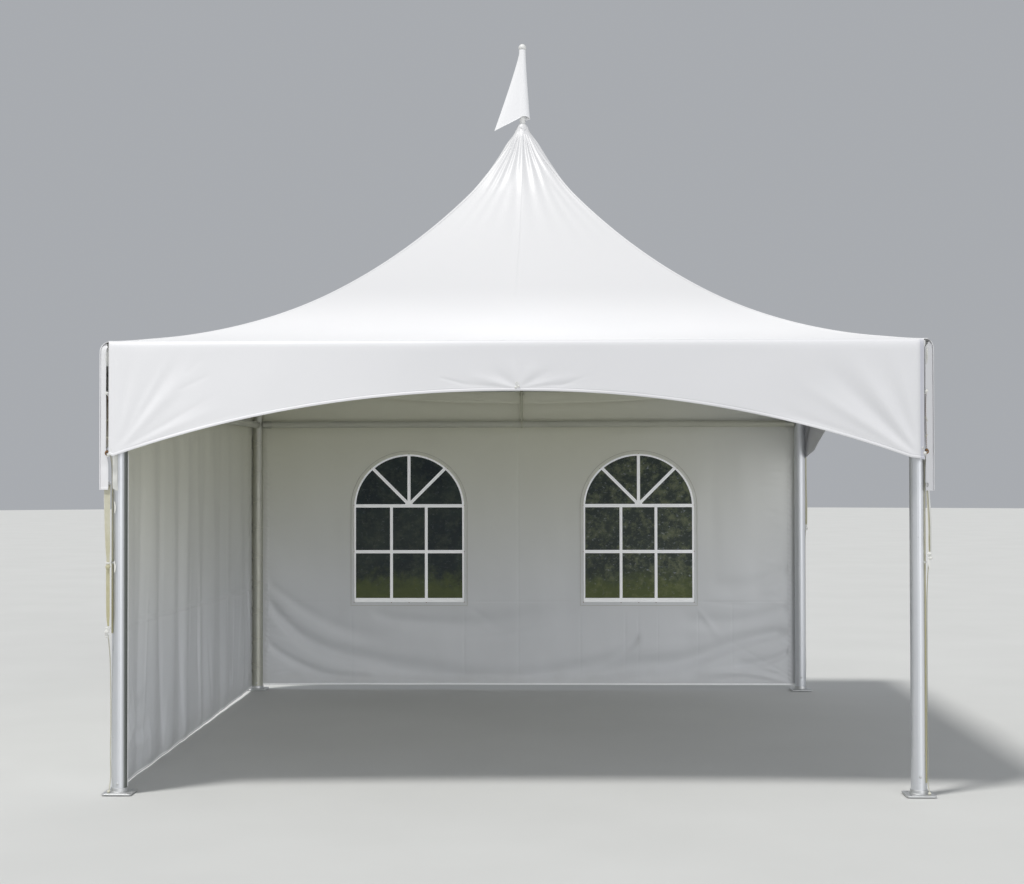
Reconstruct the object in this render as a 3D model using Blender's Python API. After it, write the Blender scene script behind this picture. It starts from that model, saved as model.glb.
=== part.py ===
"""Square frame tent with a high peaked canopy, two side walls and a hanging pennant.

Units are metres and +Z is up. The origin lies on the ground at the centre of the four legs.
+X is to the right and +Y to the rear, seen from the open front.
"""

import math

import bmesh
import bpy
import numpy as np
from mathutils import Matrix, Vector

# Driving dimensions of the frame
LEG_SPACING = 4.572
EAVE_HEIGHT = 2.595
LEG_DIAMETER = 0.089
LEG_WALL = 0.004
BEAM_DIAMETER = 0.050
BEAM_WALL = 0.003
BEAM_DROP = 0.060
WALL_RAIL_DROP = 0.300
RAIL_SLEEVE_DIAMETER = 0.062
RAIL_SLEEVE_LENGTH = 0.070
HANGER_DIAMETER = 0.016
HANGER_FOOT_DIAMETER = 0.024
HANGER_FOOT_HEIGHT = 0.018
HANGER_OFFSET = -0.050

# Feet and corner fittings
PLATE_SIDE = 0.170
PLATE_THICKNESS = 0.010
PLATE_EDGE_BEVEL = 0.002
SPIGOT_HEIGHT = 0.100
HEAD_BEVEL = 0.004
SOCKET_DEPTH = 0.110
BEAM_SPIGOT_LENGTH = 0.080
CABLE_LUG_REACH = 0.034
CABLE_LUG_WIDTH = 0.016
CABLE_LUG_THICKNESS = 0.014

# Mast, stays and peak
MAST_DIAMETER = 0.060
MAST_WALL = 0.003
MAST_FOOT_DROP = 0.095
MAST_FOOT_DIAMETER = 0.110
MAST_FOOT_THICKNESS = 0.030
MAST_PLUG_DEPTH = 0.060
CABLE_DIAMETER = 0.008
STAY_DROP = 0.018
CROWN_REACH = 0.090
CROWN_RIM_HEIGHT = 0.020
FLAGPOLE_DIAMETER = 0.040
FLAGPOLE_SOCKET_DEPTH = 0.060
FLAGPOLE_RISE = 0.637
CAP_DIAMETER = 0.054
CAP_FOOT_DIAMETER = 0.049
CAP_BAND_HEIGHT = 0.009
CAP_DOME_HEIGHT = 0.028
COLLAR_BAND_HEIGHT = 0.028
COLLAR_CONE_HEIGHT = 0.071
COLLAR_LIP = 0.002
COLLAR_TOP_WALL = 0.005

# Canopy
CLOTH = 0.003
EAVE_OVERHANG = 0.054
PEAK_HALF_WIDTH = 0.034
ROOF_PITCH = 1.245
ROOF_SAG = 1.435
PEAK_FLARE = 0.052
PEAK_FLARE_WIDTH = 0.050
PEAK_ROUNDING_WIDTH = 0.100
PANEL_BULGE = 0.055
ARCH_TOP_DROP = 0.292
ARCH_DROP = 0.380
ARCH_POWER = 2.15
VALANCE_BULGE_DEPTH = 0.057
FRONT_VALANCE_BULGE = 0.045
SIDE_VALANCE_BULGE = 0.057
VALANCE_FACET = 0.040
TAIL_WIDTH = 0.045
CORNER_SLIT = 0.012
TAIL_LENGTH = 0.852
FLAP_MIDDLE_DROP = 0.129
FLAP_END_RISE = 0.164
FLAP_END_GAP = 0.010

# Walls and windows
WALL_TOP_DROP = 0.025
BACK_WALL_BOTTOM = 0.035
SIDE_WALL_BOTTOM = 0.020
WALL_LAP = 0.019
SIDE_WALL_FOLDS = 15
SIDE_WALL_FOLD_DEPTH = 0.012
FOLD_TOP_SHARE = 0.5
FOLD_MIDDLE_SHARE = 0.8
FRONT_TUCK = 0.095
FRONT_TUCK_LENGTH = 0.550
FRONT_TUCK_TOP_DROP = 0.065
FRONT_TUCK_FADE = 0.240
FRONT_LIFT = 0.044
WINDOW_WIDTH = 0.902
WINDOW_SILL = 0.746
WINDOW_JAMB = 0.793
WINDOW_ARCH = 0.430
LEFT_WINDOW_CENTRE = -1.007
RIGHT_WINDOW_CENTRE = 0.935
PANE_LAP = 0.035
PANE_THICKNESS = 0.0015

# Corner straps and pennant
STRAP_WIDTH = 0.034
STRAP_THICKNESS = 0.0024
STRAP_LAP = 0.060
STRAP_NECK = 0.042
KNOT_DROP = 0.386
KNOT_WIDTH = 0.028
KNOT_SHOULDER = 0.8
KNOT_FLATNESS = 0.9
ROPE_DIAMETER = 0.008
ROPE_LEAD = 0.168
ROPE_SIDE_ANGLE = 20
PENNANT_TOP_DROP = 0.018
PENNANT_THICKNESS = 0.002
PENNANT_WRAP_HEIGHT = 0.455
PENNANT_TIP_DROP = 0.084
PENNANT_WRAP_ANGLE = 40
PENNANT_FLARE = 0.028
PENNANT_LENGTH = 0.190

# Clearances
GAP = 0.0003
FIT = 0.0005
CROWN_CLEARANCE = 0.0010
HIP_CLEARANCE = 0.0003

# Smoothness
LEG_SIDES = 24
TUBE_SIDES = 20
CORD_SIDES = 8
ROOF_ROWS = 16
ROOF_ROW_CROWDING = 1.6
ROOF_COLUMNS = 8
VALANCE_COLUMNS = 30
VALANCE_ROWS = 3
FLAP_COLUMNS = 20
FOLD_STEPS = 6
ARCH_STEPS = 16
CAP_STEPS = 5
CROWN_STEPS = 5
PENNANT_ROWS = 8
PENNANT_WRAP_STEPS = 7
PENNANT_POINT_STEPS = 4
SMOOTH_ANGLE = math.radians(35)

# Sizes worked out from the driving dimensions
HALF = LEG_SPACING / 2
LEG_RADIUS = LEG_DIAMETER / 2
LEG_BORE = LEG_RADIUS - LEG_WALL
BEAM_RADIUS = BEAM_DIAMETER / 2
BEAM_BORE = BEAM_RADIUS - BEAM_WALL
EAVE = HALF + EAVE_OVERHANG
HEAD_TOP = EAVE_HEIGHT - CLOTH - GAP
BEAM_AXIS_HEIGHT = EAVE_HEIGHT - BEAM_DROP
BEAM_UNDERSIDE = BEAM_AXIS_HEIGHT - BEAM_RADIUS
WALL_RAIL_HEIGHT = BEAM_AXIS_HEIGHT - WALL_RAIL_DROP
HEAD_BOTTOM = BEAM_AXIS_HEIGHT - LEG_RADIUS
LEG_BOTTOM = PLATE_THICKNESS + GAP
LEG_TOP = HEAD_BOTTOM - GAP
BEAM_END = HALF - LEG_RADIUS - GAP
MAST_RADIUS = MAST_DIAMETER / 2
MAST_BORE = MAST_RADIUS - MAST_WALL
MAST_FOOT_HEIGHT = BEAM_AXIS_HEIGHT - MAST_FOOT_DROP
MAST_FOOT_TOP = MAST_FOOT_HEIGHT + MAST_FOOT_THICKNESS
STAY_TOP = BEAM_AXIS_HEIGHT - STAY_DROP
STAY_BOTTOM = MAST_FOOT_HEIGHT + MAST_FOOT_THICKNESS / 2
POLE_RADIUS = FLAGPOLE_DIAMETER / 2
ARCH_TOP = EAVE_HEIGHT - ARCH_TOP_DROP
TAIL_BOTTOM = EAVE_HEIGHT - TAIL_LENGTH
SIDE_VALANCE_REACH = EAVE + SIDE_VALANCE_BULGE
SIDE_VALANCE_HALF = SIDE_VALANCE_REACH - TAIL_WIDTH - FRONT_VALANCE_BULGE - CORNER_SLIT
KNOT_HEIGHT = TAIL_BOTTOM - KNOT_DROP
WALL_TOP = BEAM_UNDERSIDE - WALL_TOP_DROP
WALL_INNER = HALF + LEG_RADIUS + GAP
WALL_OUTER = WALL_INNER + CLOTH
TUCK_TOP = WALL_RAIL_HEIGHT - FRONT_TUCK_TOP_DROP
WINDOW_SPRING = WINDOW_SILL + WINDOW_JAMB

CORNERS = {
    "front_left": (-1, -1, 0),
    "front_right": (1, -1, 90),
    "rear_right": (1, 1, 180),
    "rear_left": (-1, 1, 270),
}
SIDES = {"front": 0, "right": 90, "rear": 180, "left": 270}


def clear_scene():
    for item in list(bpy.data.objects):
        bpy.data.objects.remove(item, do_unlink=True)


def material(name, colour, roughness, metallic=0.0):
    """Makes one plain surface finish."""
    finish = bpy.data.materials.new(name)
    finish.use_nodes = True
    shader = finish.node_tree.nodes["Principled BSDF"]
    shader.inputs["Base Color"].default_value = (*colour, 1.0)
    shader.inputs["Roughness"].default_value = roughness
    shader.inputs["Metallic"].default_value = metallic
    finish.diffuse_color = (*colour, 1.0)
    return finish


def mesh_from_bmesh(name, bm):
    """Turns faces outward and returns the finished mesh."""
    bmesh.ops.recalc_face_normals(bm, faces=bm.faces)
    mesh = bpy.data.meshes.new(name)
    bm.to_mesh(mesh)
    bm.free()
    mesh.shade_smooth()
    mesh.set_sharp_from_angle(angle=SMOOTH_ANGLE)
    return mesh


def place(name, mesh, finish, location=(0, 0, 0), turn=0.0):
    """Adds a named object with its own finish, turned about Z by an angle in degrees."""
    item = bpy.data.objects.new(name, mesh)
    bpy.context.scene.collection.objects.link(item)
    item.location = location
    item.rotation_euler = (0, 0, math.radians(turn))
    if not mesh.materials:
        mesh.materials.append(finish)


def box_mesh(name, size, centre, bevel=0.0):
    """Makes a block, with its edges broken by a bevel where one is given."""
    bm = bmesh.new()
    bmesh.ops.create_cube(bm, size=1.0)
    bmesh.ops.scale(bm, vec=size, verts=bm.verts)
    bmesh.ops.translate(bm, vec=centre, verts=bm.verts)
    if bevel:
        bmesh.ops.bevel(bm, geom=bm.edges[:], offset=bevel, segments=1, affect="EDGES")
    return mesh_from_bmesh(name, bm)


def revolve(name, outline, sides=TUBE_SIDES, ring=False):
    """Turns an outline of (radius, height) points about Z.

    A ring outline closes on itself and leaves a bore. Any other outline starts and ends on the axis.
    """
    bm = bmesh.new()
    loops = []
    for radius, height in outline:
        if radius == 0:
            loops.append([bm.verts.new((0, 0, height))] * sides)
            continue
        angles = (2 * math.pi * step / sides for step in range(sides))
        loops.append([bm.verts.new((radius * math.cos(a), radius * math.sin(a), height)) for a in angles])
    pairs = list(zip(loops, loops[1:]))
    if ring:
        pairs.append((loops[-1], loops[0]))
    for low, high in pairs:
        for step in range(sides):
            after = (step + 1) % sides
            corners = [low[step], low[after], high[after], high[step]]
            bm.faces.new(list(dict.fromkeys(corners)))
    return mesh_from_bmesh(name, bm)


def tube_outline(radius, bore, bottom, top):
    return [(bore, bottom), (radius, bottom), (radius, top), (bore, top)]


def rod_outline(radius, bottom, top):
    return [(0, bottom), (radius, bottom), (radius, top), (0, top)]


def sheet_mesh(name, outer, inner):
    """Closes an outer and an inner grid of points into one sheet with edges all round."""
    rows, columns = outer.shape[:2]
    bm = bmesh.new()
    front = [[bm.verts.new(point) for point in row] for row in outer]
    back = [[bm.verts.new(point) for point in row] for row in inner]
    for i in range(rows - 1):
        for j in range(columns - 1):
            bm.faces.new((front[i][j], front[i][j + 1], front[i + 1][j + 1], front[i + 1][j]))
            bm.faces.new((back[i][j], back[i + 1][j], back[i + 1][j + 1], back[i][j + 1]))
    border = [(0, j) for j in range(columns)]
    border += [(i, columns - 1) for i in range(1, rows)]
    border += [(rows - 1, j) for j in range(columns - 2, -1, -1)]
    border += [(i, 0) for i in range(rows - 2, 0, -1)]
    for (i, j), (k, m) in zip(border, border[1:] + border[:1]):
        bm.faces.new((front[i][j], back[i][j], back[k][m], front[k][m]))
    return mesh_from_bmesh(name, bm)


def combine(name, base, tools, operation):
    """Joins or cuts a mesh with others and returns the result as a new mesh."""
    scene = bpy.context.scene.collection
    body = bpy.data.objects.new(name, base)
    scene.objects.link(body)
    helpers = []
    for tool in tools:
        helper = bpy.data.objects.new(tool.name, tool)
        helper.hide_render = True
        helper.display_type = "WIRE"
        scene.objects.link(helper)
        helpers.append(helper)
        cut = body.modifiers.new(tool.name, "BOOLEAN")
        cut.operation = operation
        cut.solver = "EXACT"
        cut.object = helper
    bpy.context.view_layer.update()
    graph = bpy.context.evaluated_depsgraph_get()
    result = bpy.data.meshes.new_from_object(body.evaluated_get(graph))
    for helper in helpers + [body]:
        bpy.data.objects.remove(helper, do_unlink=True)
    result.name = name
    result.shade_smooth()
    result.set_sharp_from_angle(angle=SMOOTH_ANGLE)
    return result


def moved(mesh, matrix):
    mesh.transform(matrix)
    return mesh


def roof_height(half_width):
    """Height of the canopy where its hip is half_width from the centre."""
    slope = ROOF_PITCH * (EAVE - half_width)
    sag = ROOF_SAG * (1 - (half_width / EAVE) ** 2)
    flare = math.log((EAVE + PEAK_FLARE_WIDTH) / (half_width + PEAK_FLARE_WIDTH))
    return EAVE_HEIGHT + slope - sag + PEAK_FLARE * flare


def roof_bulge(half_width):
    """How far a panel's middle stands out beyond its hips, as a share of half_width."""
    rounding = (math.sqrt(2) - 1) * math.exp(-(half_width - PEAK_HALF_WIDTH) / PEAK_ROUNDING_WIDTH)
    return rounding * (1 - PANEL_BULGE) + PANEL_BULGE * (1 - (half_width / EAVE) ** 3)


def flagpole_top():
    return roof_height(PEAK_HALF_WIDTH) + FLAGPOLE_RISE


def roof_panel(side, turn, finish):
    """One of four canopy panels, from eave to peak between two hips."""
    share = np.linspace(0, 1, ROOF_ROWS + 1) ** ROOF_ROW_CROWDING
    widths = PEAK_HALF_WIDTH + (EAVE - PEAK_HALF_WIDTH) * share
    across = np.linspace(-1, 1, ROOF_COLUMNS + 1)
    top = np.zeros((len(widths), len(across), 3))
    for i, half_width in enumerate(widths):
        edge = half_width - HIP_CLEARANCE
        top[i, :, 0] = edge * across
        top[i, :, 1] = -half_width * (1 + roof_bulge(half_width) * (1 - across ** 2))
        top[i, :, 2] = roof_height(half_width)
    low = top - np.array([0, 0, CLOTH])
    mesh = sheet_mesh("roof_panel_" + side, top, low)
    place("roof_panel_" + side, mesh, finish, turn=turn)


def arch_height(along):
    """Height of a valance's lower edge at a distance along it from its middle."""
    return ARCH_TOP - ARCH_DROP * (abs(along) / EAVE) ** ARCH_POWER


def plan_normals(path):
    """Outward horizontal normals of a plan path that runs towards +X with the outside at -Y."""
    steps = np.gradient(path, axis=0)
    normals = np.stack([steps[:, 1], -steps[:, 0]], axis=1)
    return normals / np.linalg.norm(normals, axis=1)[:, None]


def valance(side, turn, finish):
    """A scalloped curtain that hangs from the eave. The side ones end in long corner tails."""
    is_side = side in ("left", "right")
    if is_side:
        reach = SIDE_VALANCE_REACH
        straight = SIDE_VALANCE_HALF
        end = (straight + TAIL_WIDTH, -(reach - TAIL_WIDTH))
    else:
        reach = EAVE + FRONT_VALANCE_BULGE
        straight = EAVE - VALANCE_FACET
        end = (EAVE - CLOTH, -(reach - VALANCE_FACET / 2))
    inside = np.linspace(-straight, straight, VALANCE_COLUMNS + 1)
    along = list(inside)
    bottoms = [arch_height(t) for t in inside]
    if is_side:
        step = 2 * CLOTH
        along = [-straight - step] + along + [straight + step]
        bottoms = [TAIL_BOTTOM] + bottoms + [TAIL_BOTTOM]
        low_path = [(t, -reach) for t in along]
        low_path[0] = (-straight - step, -(reach - step))
        low_path[-1] = (straight + step, -(reach - step))
    else:
        low_path = [(t, -reach) for t in along]
    end_bottom = TAIL_BOTTOM if is_side else arch_height(end[0])
    low_path = [(-end[0], end[1])] + low_path + [end]
    bottoms = [end_bottom] + bottoms + [end_bottom]
    low_path = np.array(low_path)
    top_reach = EAVE - 3 * CLOTH
    top_path = np.stack([low_path[:, 0] * top_reach / end[0], np.full(len(low_path), -EAVE)], axis=1)
    depths = [0.0, VALANCE_BULGE_DEPTH / 3, VALANCE_BULGE_DEPTH]
    rows_outer = []
    rows_inner = []
    for row in range(len(depths) + VALANCE_ROWS):
        if row < len(depths):
            heights = np.full(len(bottoms), HEAD_TOP - depths[row])
            out = math.sin(math.pi / 2 * depths[row] / VALANCE_BULGE_DEPTH)
        else:
            share = (row - len(depths) + 1) / VALANCE_ROWS
            heights = (HEAD_TOP - VALANCE_BULGE_DEPTH) * (1 - share) + np.array(bottoms) * share
            out = 1.0
        path = top_path * (1 - out) + low_path * out
        inner = path - plan_normals(path) * CLOTH
        rows_outer.append(np.column_stack([path, heights]))
        rows_inner.append(np.column_stack([inner, heights]))
    mesh = sheet_mesh("valance_" + side, np.array(rows_outer), np.array(rows_inner))
    place("valance_" + side, mesh, finish, turn=turn)


def inner_flap(side, turn, finish):
    """A short flap that hangs behind the eave beam and sags to its lowest point in the middle."""
    half_length = HALF - LEG_RADIUS - FLAP_END_GAP
    along = np.linspace(-half_length, half_length, FLAP_COLUMNS + 1)
    near = -(HALF + BEAM_RADIUS + GAP + CLOTH)
    top = BEAM_AXIS_HEIGHT + BEAM_RADIUS
    rise = FLAP_END_RISE * (along / half_length) ** 2
    bottoms = BEAM_AXIS_HEIGHT + np.minimum(rise - FLAP_MIDDLE_DROP, 0)
    outer = np.array([[(t, near, top) for t in along], [(t, near, z) for t, z in zip(along, bottoms)]])
    inner = outer + np.array([0, CLOTH, 0])
    mesh = sheet_mesh("inner_flap_" + side, outer, inner)
    place("inner_flap_" + side, mesh, finish, turn=turn)


def base_plate_mesh():
    size = (PLATE_SIDE, PLATE_SIDE, PLATE_THICKNESS)
    plate = box_mesh("plate", size, (0, 0, PLATE_THICKNESS / 2), PLATE_EDGE_BEVEL)
    buried = PLATE_THICKNESS / 2
    top = PLATE_THICKNESS + SPIGOT_HEIGHT
    spigot = revolve("spigot", rod_outline(LEG_BORE - FIT, buried, top), LEG_SIDES)
    return combine("base_plate", plate, [spigot], "UNION")


def corner_fitting_mesh():
    """Head block over a leg, with a plug into the leg, two beam spigots and a stay lug."""
    height = HEAD_TOP - HEAD_BOTTOM
    side = 2 * LEG_RADIUS
    middle = (HEAD_TOP + HEAD_BOTTOM) / 2
    head = box_mesh("head", (side, side, height), (0, 0, middle), HEAD_BEVEL)
    plug = revolve("plug", rod_outline(LEG_BORE - FIT, HEAD_BOTTOM - SOCKET_DEPTH, middle), LEG_SIDES)
    tools = [plug]
    for turn in (0, 90):
        outline = rod_outline(BEAM_BORE - FIT, LEG_RADIUS / 2, LEG_RADIUS + BEAM_SPIGOT_LENGTH)
        spigot = revolve("beam_spigot_%d" % turn, outline)
        lay_down = Matrix.Rotation(math.radians(turn), 4, "Z") @ Matrix.Rotation(math.radians(90), 4, "Y")
        tools.append(moved(spigot, Matrix.Translation((0, 0, BEAM_AXIS_HEIGHT)) @ lay_down))
    inside = LEG_RADIUS / 2
    reach = LEG_RADIUS * math.sqrt(2) + CABLE_LUG_REACH
    size = (reach - inside, CABLE_LUG_WIDTH, CABLE_LUG_THICKNESS)
    lug = box_mesh("lug", size, ((reach + inside) / 2, 0, STAY_TOP))
    tools.append(moved(lug, Matrix.Rotation(math.radians(45), 4, "Z")))
    return combine("corner_fitting", head, tools, "UNION")


def frame(finishes):
    leg = revolve("leg", tube_outline(LEG_RADIUS, LEG_BORE, LEG_BOTTOM, LEG_TOP), LEG_SIDES, ring=True)
    plate = base_plate_mesh()
    fitting = corner_fitting_mesh()
    for corner, (x, y, turn) in CORNERS.items():
        spot = (x * HALF, y * HALF, 0)
        place("leg_" + corner, leg, finishes["aluminium"], spot, turn)
        place("base_plate_" + corner, plate, finishes["steel"], spot, turn)
        place("corner_fitting_" + corner, fitting, finishes["cast_metal"], spot, turn)

    beam = revolve("beam", tube_outline(BEAM_RADIUS, BEAM_BORE, -BEAM_END, BEAM_END), ring=True)
    beam.transform(Matrix.Rotation(math.radians(90), 4, "Y"))
    for side, turn in SIDES.items():
        out = Matrix.Rotation(math.radians(turn), 4, "Z") @ Vector((0, -HALF, BEAM_AXIS_HEIGHT))
        place("eave_beam_" + side, beam, finishes["aluminium"], out, turn)

    sleeve = RAIL_SLEEVE_DIAMETER / 2
    inner_end = BEAM_END - RAIL_SLEEVE_LENGTH
    outline = [
        (BEAM_BORE, -BEAM_END), (sleeve, -BEAM_END), (sleeve, -inner_end), (BEAM_RADIUS, -inner_end),
        (BEAM_RADIUS, inner_end), (sleeve, inner_end), (sleeve, BEAM_END), (BEAM_BORE, BEAM_END),
    ]
    rail = revolve("rail", outline, ring=True)
    rail.transform(Matrix.Rotation(math.radians(90), 4, "Y"))
    place("wall_rail_rear", rail, finishes["aluminium"], (0, HALF, WALL_RAIL_HEIGHT))
    place("wall_rail_left", rail, finishes["aluminium"], (-HALF, 0, WALL_RAIL_HEIGHT), 90)

    bottom = WALL_RAIL_HEIGHT + BEAM_RADIUS + GAP
    top = BEAM_UNDERSIDE - GAP
    rod = HANGER_DIAMETER / 2
    foot = HANGER_FOOT_DIAMETER / 2
    outline = [
        (0, bottom), (foot, bottom), (foot, bottom + HANGER_FOOT_HEIGHT), (rod, bottom + HANGER_FOOT_HEIGHT),
        (rod, top - HANGER_FOOT_HEIGHT), (foot, top - HANGER_FOOT_HEIGHT), (foot, top), (0, top),
    ]
    place("rail_hanger", revolve("hanger", outline, 12), finishes["steel"], (HANGER_OFFSET, HALF, 0))


def crown_outline():
    """The mast crown follows the underside of the canopy and holds the flagpole in a blind socket."""
    rim = []
    for half_width in np.linspace(CROWN_REACH, PEAK_HALF_WIDTH, CROWN_STEPS + 1):
        radius = half_width * (1 + roof_bulge(half_width)) - CROWN_CLEARANCE
        rim.append((radius, roof_height(half_width) - CLOTH - CROWN_CLEARANCE))
    base = rim[0][1] - CROWN_RIM_HEIGHT
    top = rim[-1][1]
    socket = POLE_RADIUS + FIT
    floor = top - FLAGPOLE_SOCKET_DEPTH
    plug = MAST_BORE - FIT
    outline = [(0, base - MAST_PLUG_DEPTH), (plug, base - MAST_PLUG_DEPTH), (plug, base), (rim[0][0], base)]
    return outline + rim + [(socket, top), (socket, floor), (0, floor)], base, floor


def mast_and_stays(finishes):
    outline, crown_base, socket_floor = crown_outline()
    place("mast_crown", revolve("mast_crown", outline, 24), finishes["cast_metal"])
    mast = tube_outline(MAST_RADIUS, MAST_BORE, MAST_FOOT_TOP + GAP, crown_base - GAP)
    place("mast", revolve("mast", mast, ring=True), finishes["aluminium"])

    plug = MAST_BORE - FIT
    edge = MAST_FOOT_DIAMETER / 2
    outline = [
        (0, MAST_FOOT_HEIGHT), (edge, MAST_FOOT_HEIGHT), (edge, MAST_FOOT_TOP), (plug, MAST_FOOT_TOP),
        (plug, MAST_FOOT_TOP + MAST_PLUG_DEPTH), (0, MAST_FOOT_TOP + MAST_PLUG_DEPTH),
    ]
    disc = revolve("mast_foot", outline, 24)
    lug_end = edge + CABLE_LUG_REACH
    lugs = []
    for turn in (45, 135, 225, 315):
        size = (lug_end - edge / 2, CABLE_LUG_WIDTH, CABLE_LUG_THICKNESS)
        lug = box_mesh("foot_lug_%d" % turn, size, ((lug_end + edge / 2) / 2, 0, STAY_BOTTOM))
        lugs.append(moved(lug, Matrix.Rotation(math.radians(turn), 4, "Z")))
    place("mast_foot", combine("mast_foot", disc, lugs, "UNION"), finishes["cast_metal"])

    far_end = (HALF - LEG_RADIUS) * math.sqrt(2) - CABLE_LUG_REACH
    start = Vector((lug_end + FIT, 0, STAY_BOTTOM))
    end = Vector((far_end - FIT, 0, STAY_TOP))
    cable = revolve("cable", rod_outline(CABLE_DIAMETER / 2, 0, (end - start).length), CORD_SIDES)
    lean = Vector((0, 0, 1)).rotation_difference(end - start).to_matrix().to_4x4()
    cable.transform(Matrix.Translation(start) @ lean)
    for corner, (x, y, turn) in CORNERS.items():
        place("stay_cable_" + corner, cable, finishes["cable"], turn=turn + 225)

    pole_top = flagpole_top()
    pole = rod_outline(POLE_RADIUS, socket_floor + GAP, pole_top)
    place("flagpole", revolve("flagpole", pole), finishes["aluminium"])
    cap_radius = CAP_DIAMETER / 2
    bottom = pole_top + GAP
    band = bottom + CAP_BAND_HEIGHT
    outline = [(0, bottom), (CAP_FOOT_DIAMETER / 2, bottom), (cap_radius, band)]
    for step in range(1, CAP_STEPS):
        angle = math.pi / 2 * step / CAP_STEPS
        outline.append((cap_radius * math.cos(angle), band + CAP_DOME_HEIGHT * math.sin(angle)))
    outline.append((0, band + CAP_DOME_HEIGHT))
    place("finial_cap", revolve("finial_cap", outline), finishes["cast_metal"])

    rim = PEAK_HALF_WIDTH * (1 + roof_bulge(PEAK_HALF_WIDTH))
    seat = roof_height(PEAK_HALF_WIDTH) + GAP
    throat = POLE_RADIUS + FIT
    shoulder = seat + COLLAR_BAND_HEIGHT
    tip = shoulder + COLLAR_CONE_HEIGHT
    outline = [
        (rim - 2 * CLOTH, seat), (rim + COLLAR_LIP, seat), (rim + COLLAR_LIP, shoulder),
        (throat + COLLAR_TOP_WALL, tip), (throat, tip), (throat, shoulder),
    ]
    place("peak_collar", revolve("peak_collar", outline, 24, ring=True), finishes["canopy"])


def window_outline(centre, margin=0.0):
    """Points of an arched window, from the sill's left end round to its right end."""
    half = WINDOW_WIDTH / 2 + margin
    rise = WINDOW_ARCH + margin
    points = [(centre - half, WINDOW_SILL - margin)]
    for step in range(ARCH_STEPS + 1):
        angle = math.pi * (1 - step / ARCH_STEPS)
        points.append((centre + half * math.cos(angle), WINDOW_SPRING + rise * math.sin(angle)))
    points.append((centre + half, WINDOW_SILL - margin))
    return points


def slab_mesh(name, points, near, far):
    """Extrudes an outline of (x, z) points from one y to another."""
    bm = bmesh.new()
    face = bm.faces.new([bm.verts.new((x, near, z)) for x, z in points])
    grown = bmesh.ops.extrude_face_region(bm, geom=[face])
    verts = [v for v in grown["geom"] if isinstance(v, bmesh.types.BMVert)]
    bmesh.ops.translate(bm, vec=(0, far - near, 0), verts=verts)
    return mesh_from_bmesh(name, bm)


def left_wall(finish):
    """A wall that hangs in folds outside the left rail. Its front end is tucked in behind the leg."""
    steps = SIDE_WALL_FOLDS * FOLD_STEPS
    along = np.linspace(-BEAM_END, HALF, steps + 1)
    wave = (1 - np.cos(2 * math.pi * SIDE_WALL_FOLDS * np.linspace(0, 1, steps + 1))) / 2
    tuck = np.clip(1 - (along + BEAM_END) / FRONT_TUCK_LENGTH, 0, 1) ** 2
    bottom = SIDE_WALL_BOTTOM + FRONT_LIFT * tuck
    full = TUCK_TOP - FRONT_TUCK_FADE
    level = np.ones(len(along))
    rows = [
        (WALL_TOP * level, FOLD_TOP_SHARE, 0),
        (TUCK_TOP * level, FOLD_TOP_SHARE, 0),
        (full * level, FOLD_MIDDLE_SHARE, 1),
        ((full + bottom) / 2, FOLD_MIDDLE_SHARE, 1),
        (bottom, 1, 1),
    ]
    inner = []
    outer = []
    for heights, fold_share, tuck_share in rows:
        out = FRONT_TUCK * tuck_share * tuck - WALL_INNER - SIDE_WALL_FOLD_DEPTH * fold_share * wave
        inner.append(np.column_stack([out, along, heights]))
        outer.append(np.column_stack([out - CLOTH, along, heights]))
    place("left_wall", sheet_mesh("left_wall", np.array(outer), np.array(inner)), finish)


def walls(finishes):
    half = HALF + WALL_LAP
    corners = [(-half, BACK_WALL_BOTTOM), (half, BACK_WALL_BOTTOM), (half, WALL_TOP), (-half, WALL_TOP)]
    cloth = slab_mesh("cloth", corners, WALL_INNER, WALL_OUTER)
    cutters = []
    for side, centre in (("left", LEFT_WINDOW_CENTRE), ("right", RIGHT_WINDOW_CENTRE)):
        outline = window_outline(centre)
        cutters.append(slab_mesh("window_" + side, outline, WALL_INNER - CLOTH, WALL_OUTER + CLOTH))
        near = WALL_OUTER + GAP
        pane = slab_mesh("pane", window_outline(centre, PANE_LAP), near, near + PANE_THICKNESS)
        place("window_pane_" + side, pane, finishes["clear_vinyl"])
    place("back_wall", combine("back_wall", cloth, cutters, "DIFFERENCE"), finishes["wall_vinyl"])
    left_wall(finishes["wall_vinyl"])


def strand_mesh(name, levels, mirror):
    """Lofts a flat or round strand downward.

    Each level is (x, y, z, half width, half thickness). Its width lies along the 45 degree line of
    the front right corner, and mirror turns it into another corner's strand.
    """
    bm = bmesh.new()
    rings = []
    for x, y, z, wide, thick in levels:
        ring = []
        for step in range(CORD_SIDES):
            angle = 2 * math.pi * (step + 0.5) / CORD_SIDES
            a = wide * math.cos(angle) / math.cos(math.pi / CORD_SIDES)
            b = thick * math.sin(angle) / math.cos(math.pi / CORD_SIDES)
            px = (x + (a - b) / math.sqrt(2)) * mirror[0]
            py = (y + (a + b) / math.sqrt(2)) * mirror[1]
            ring.append(bm.verts.new((px, py, z)))
        rings.append(ring)
    for high, low in zip(rings, rings[1:]):
        for step in range(CORD_SIDES):
            after = (step + 1) % CORD_SIDES
            bm.faces.new((high[step], low[step], low[after], high[after]))
    bm.faces.new(rings[0])
    bm.faces.new(list(reversed(rings[-1])))
    return mesh_from_bmesh(name, bm)


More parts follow.
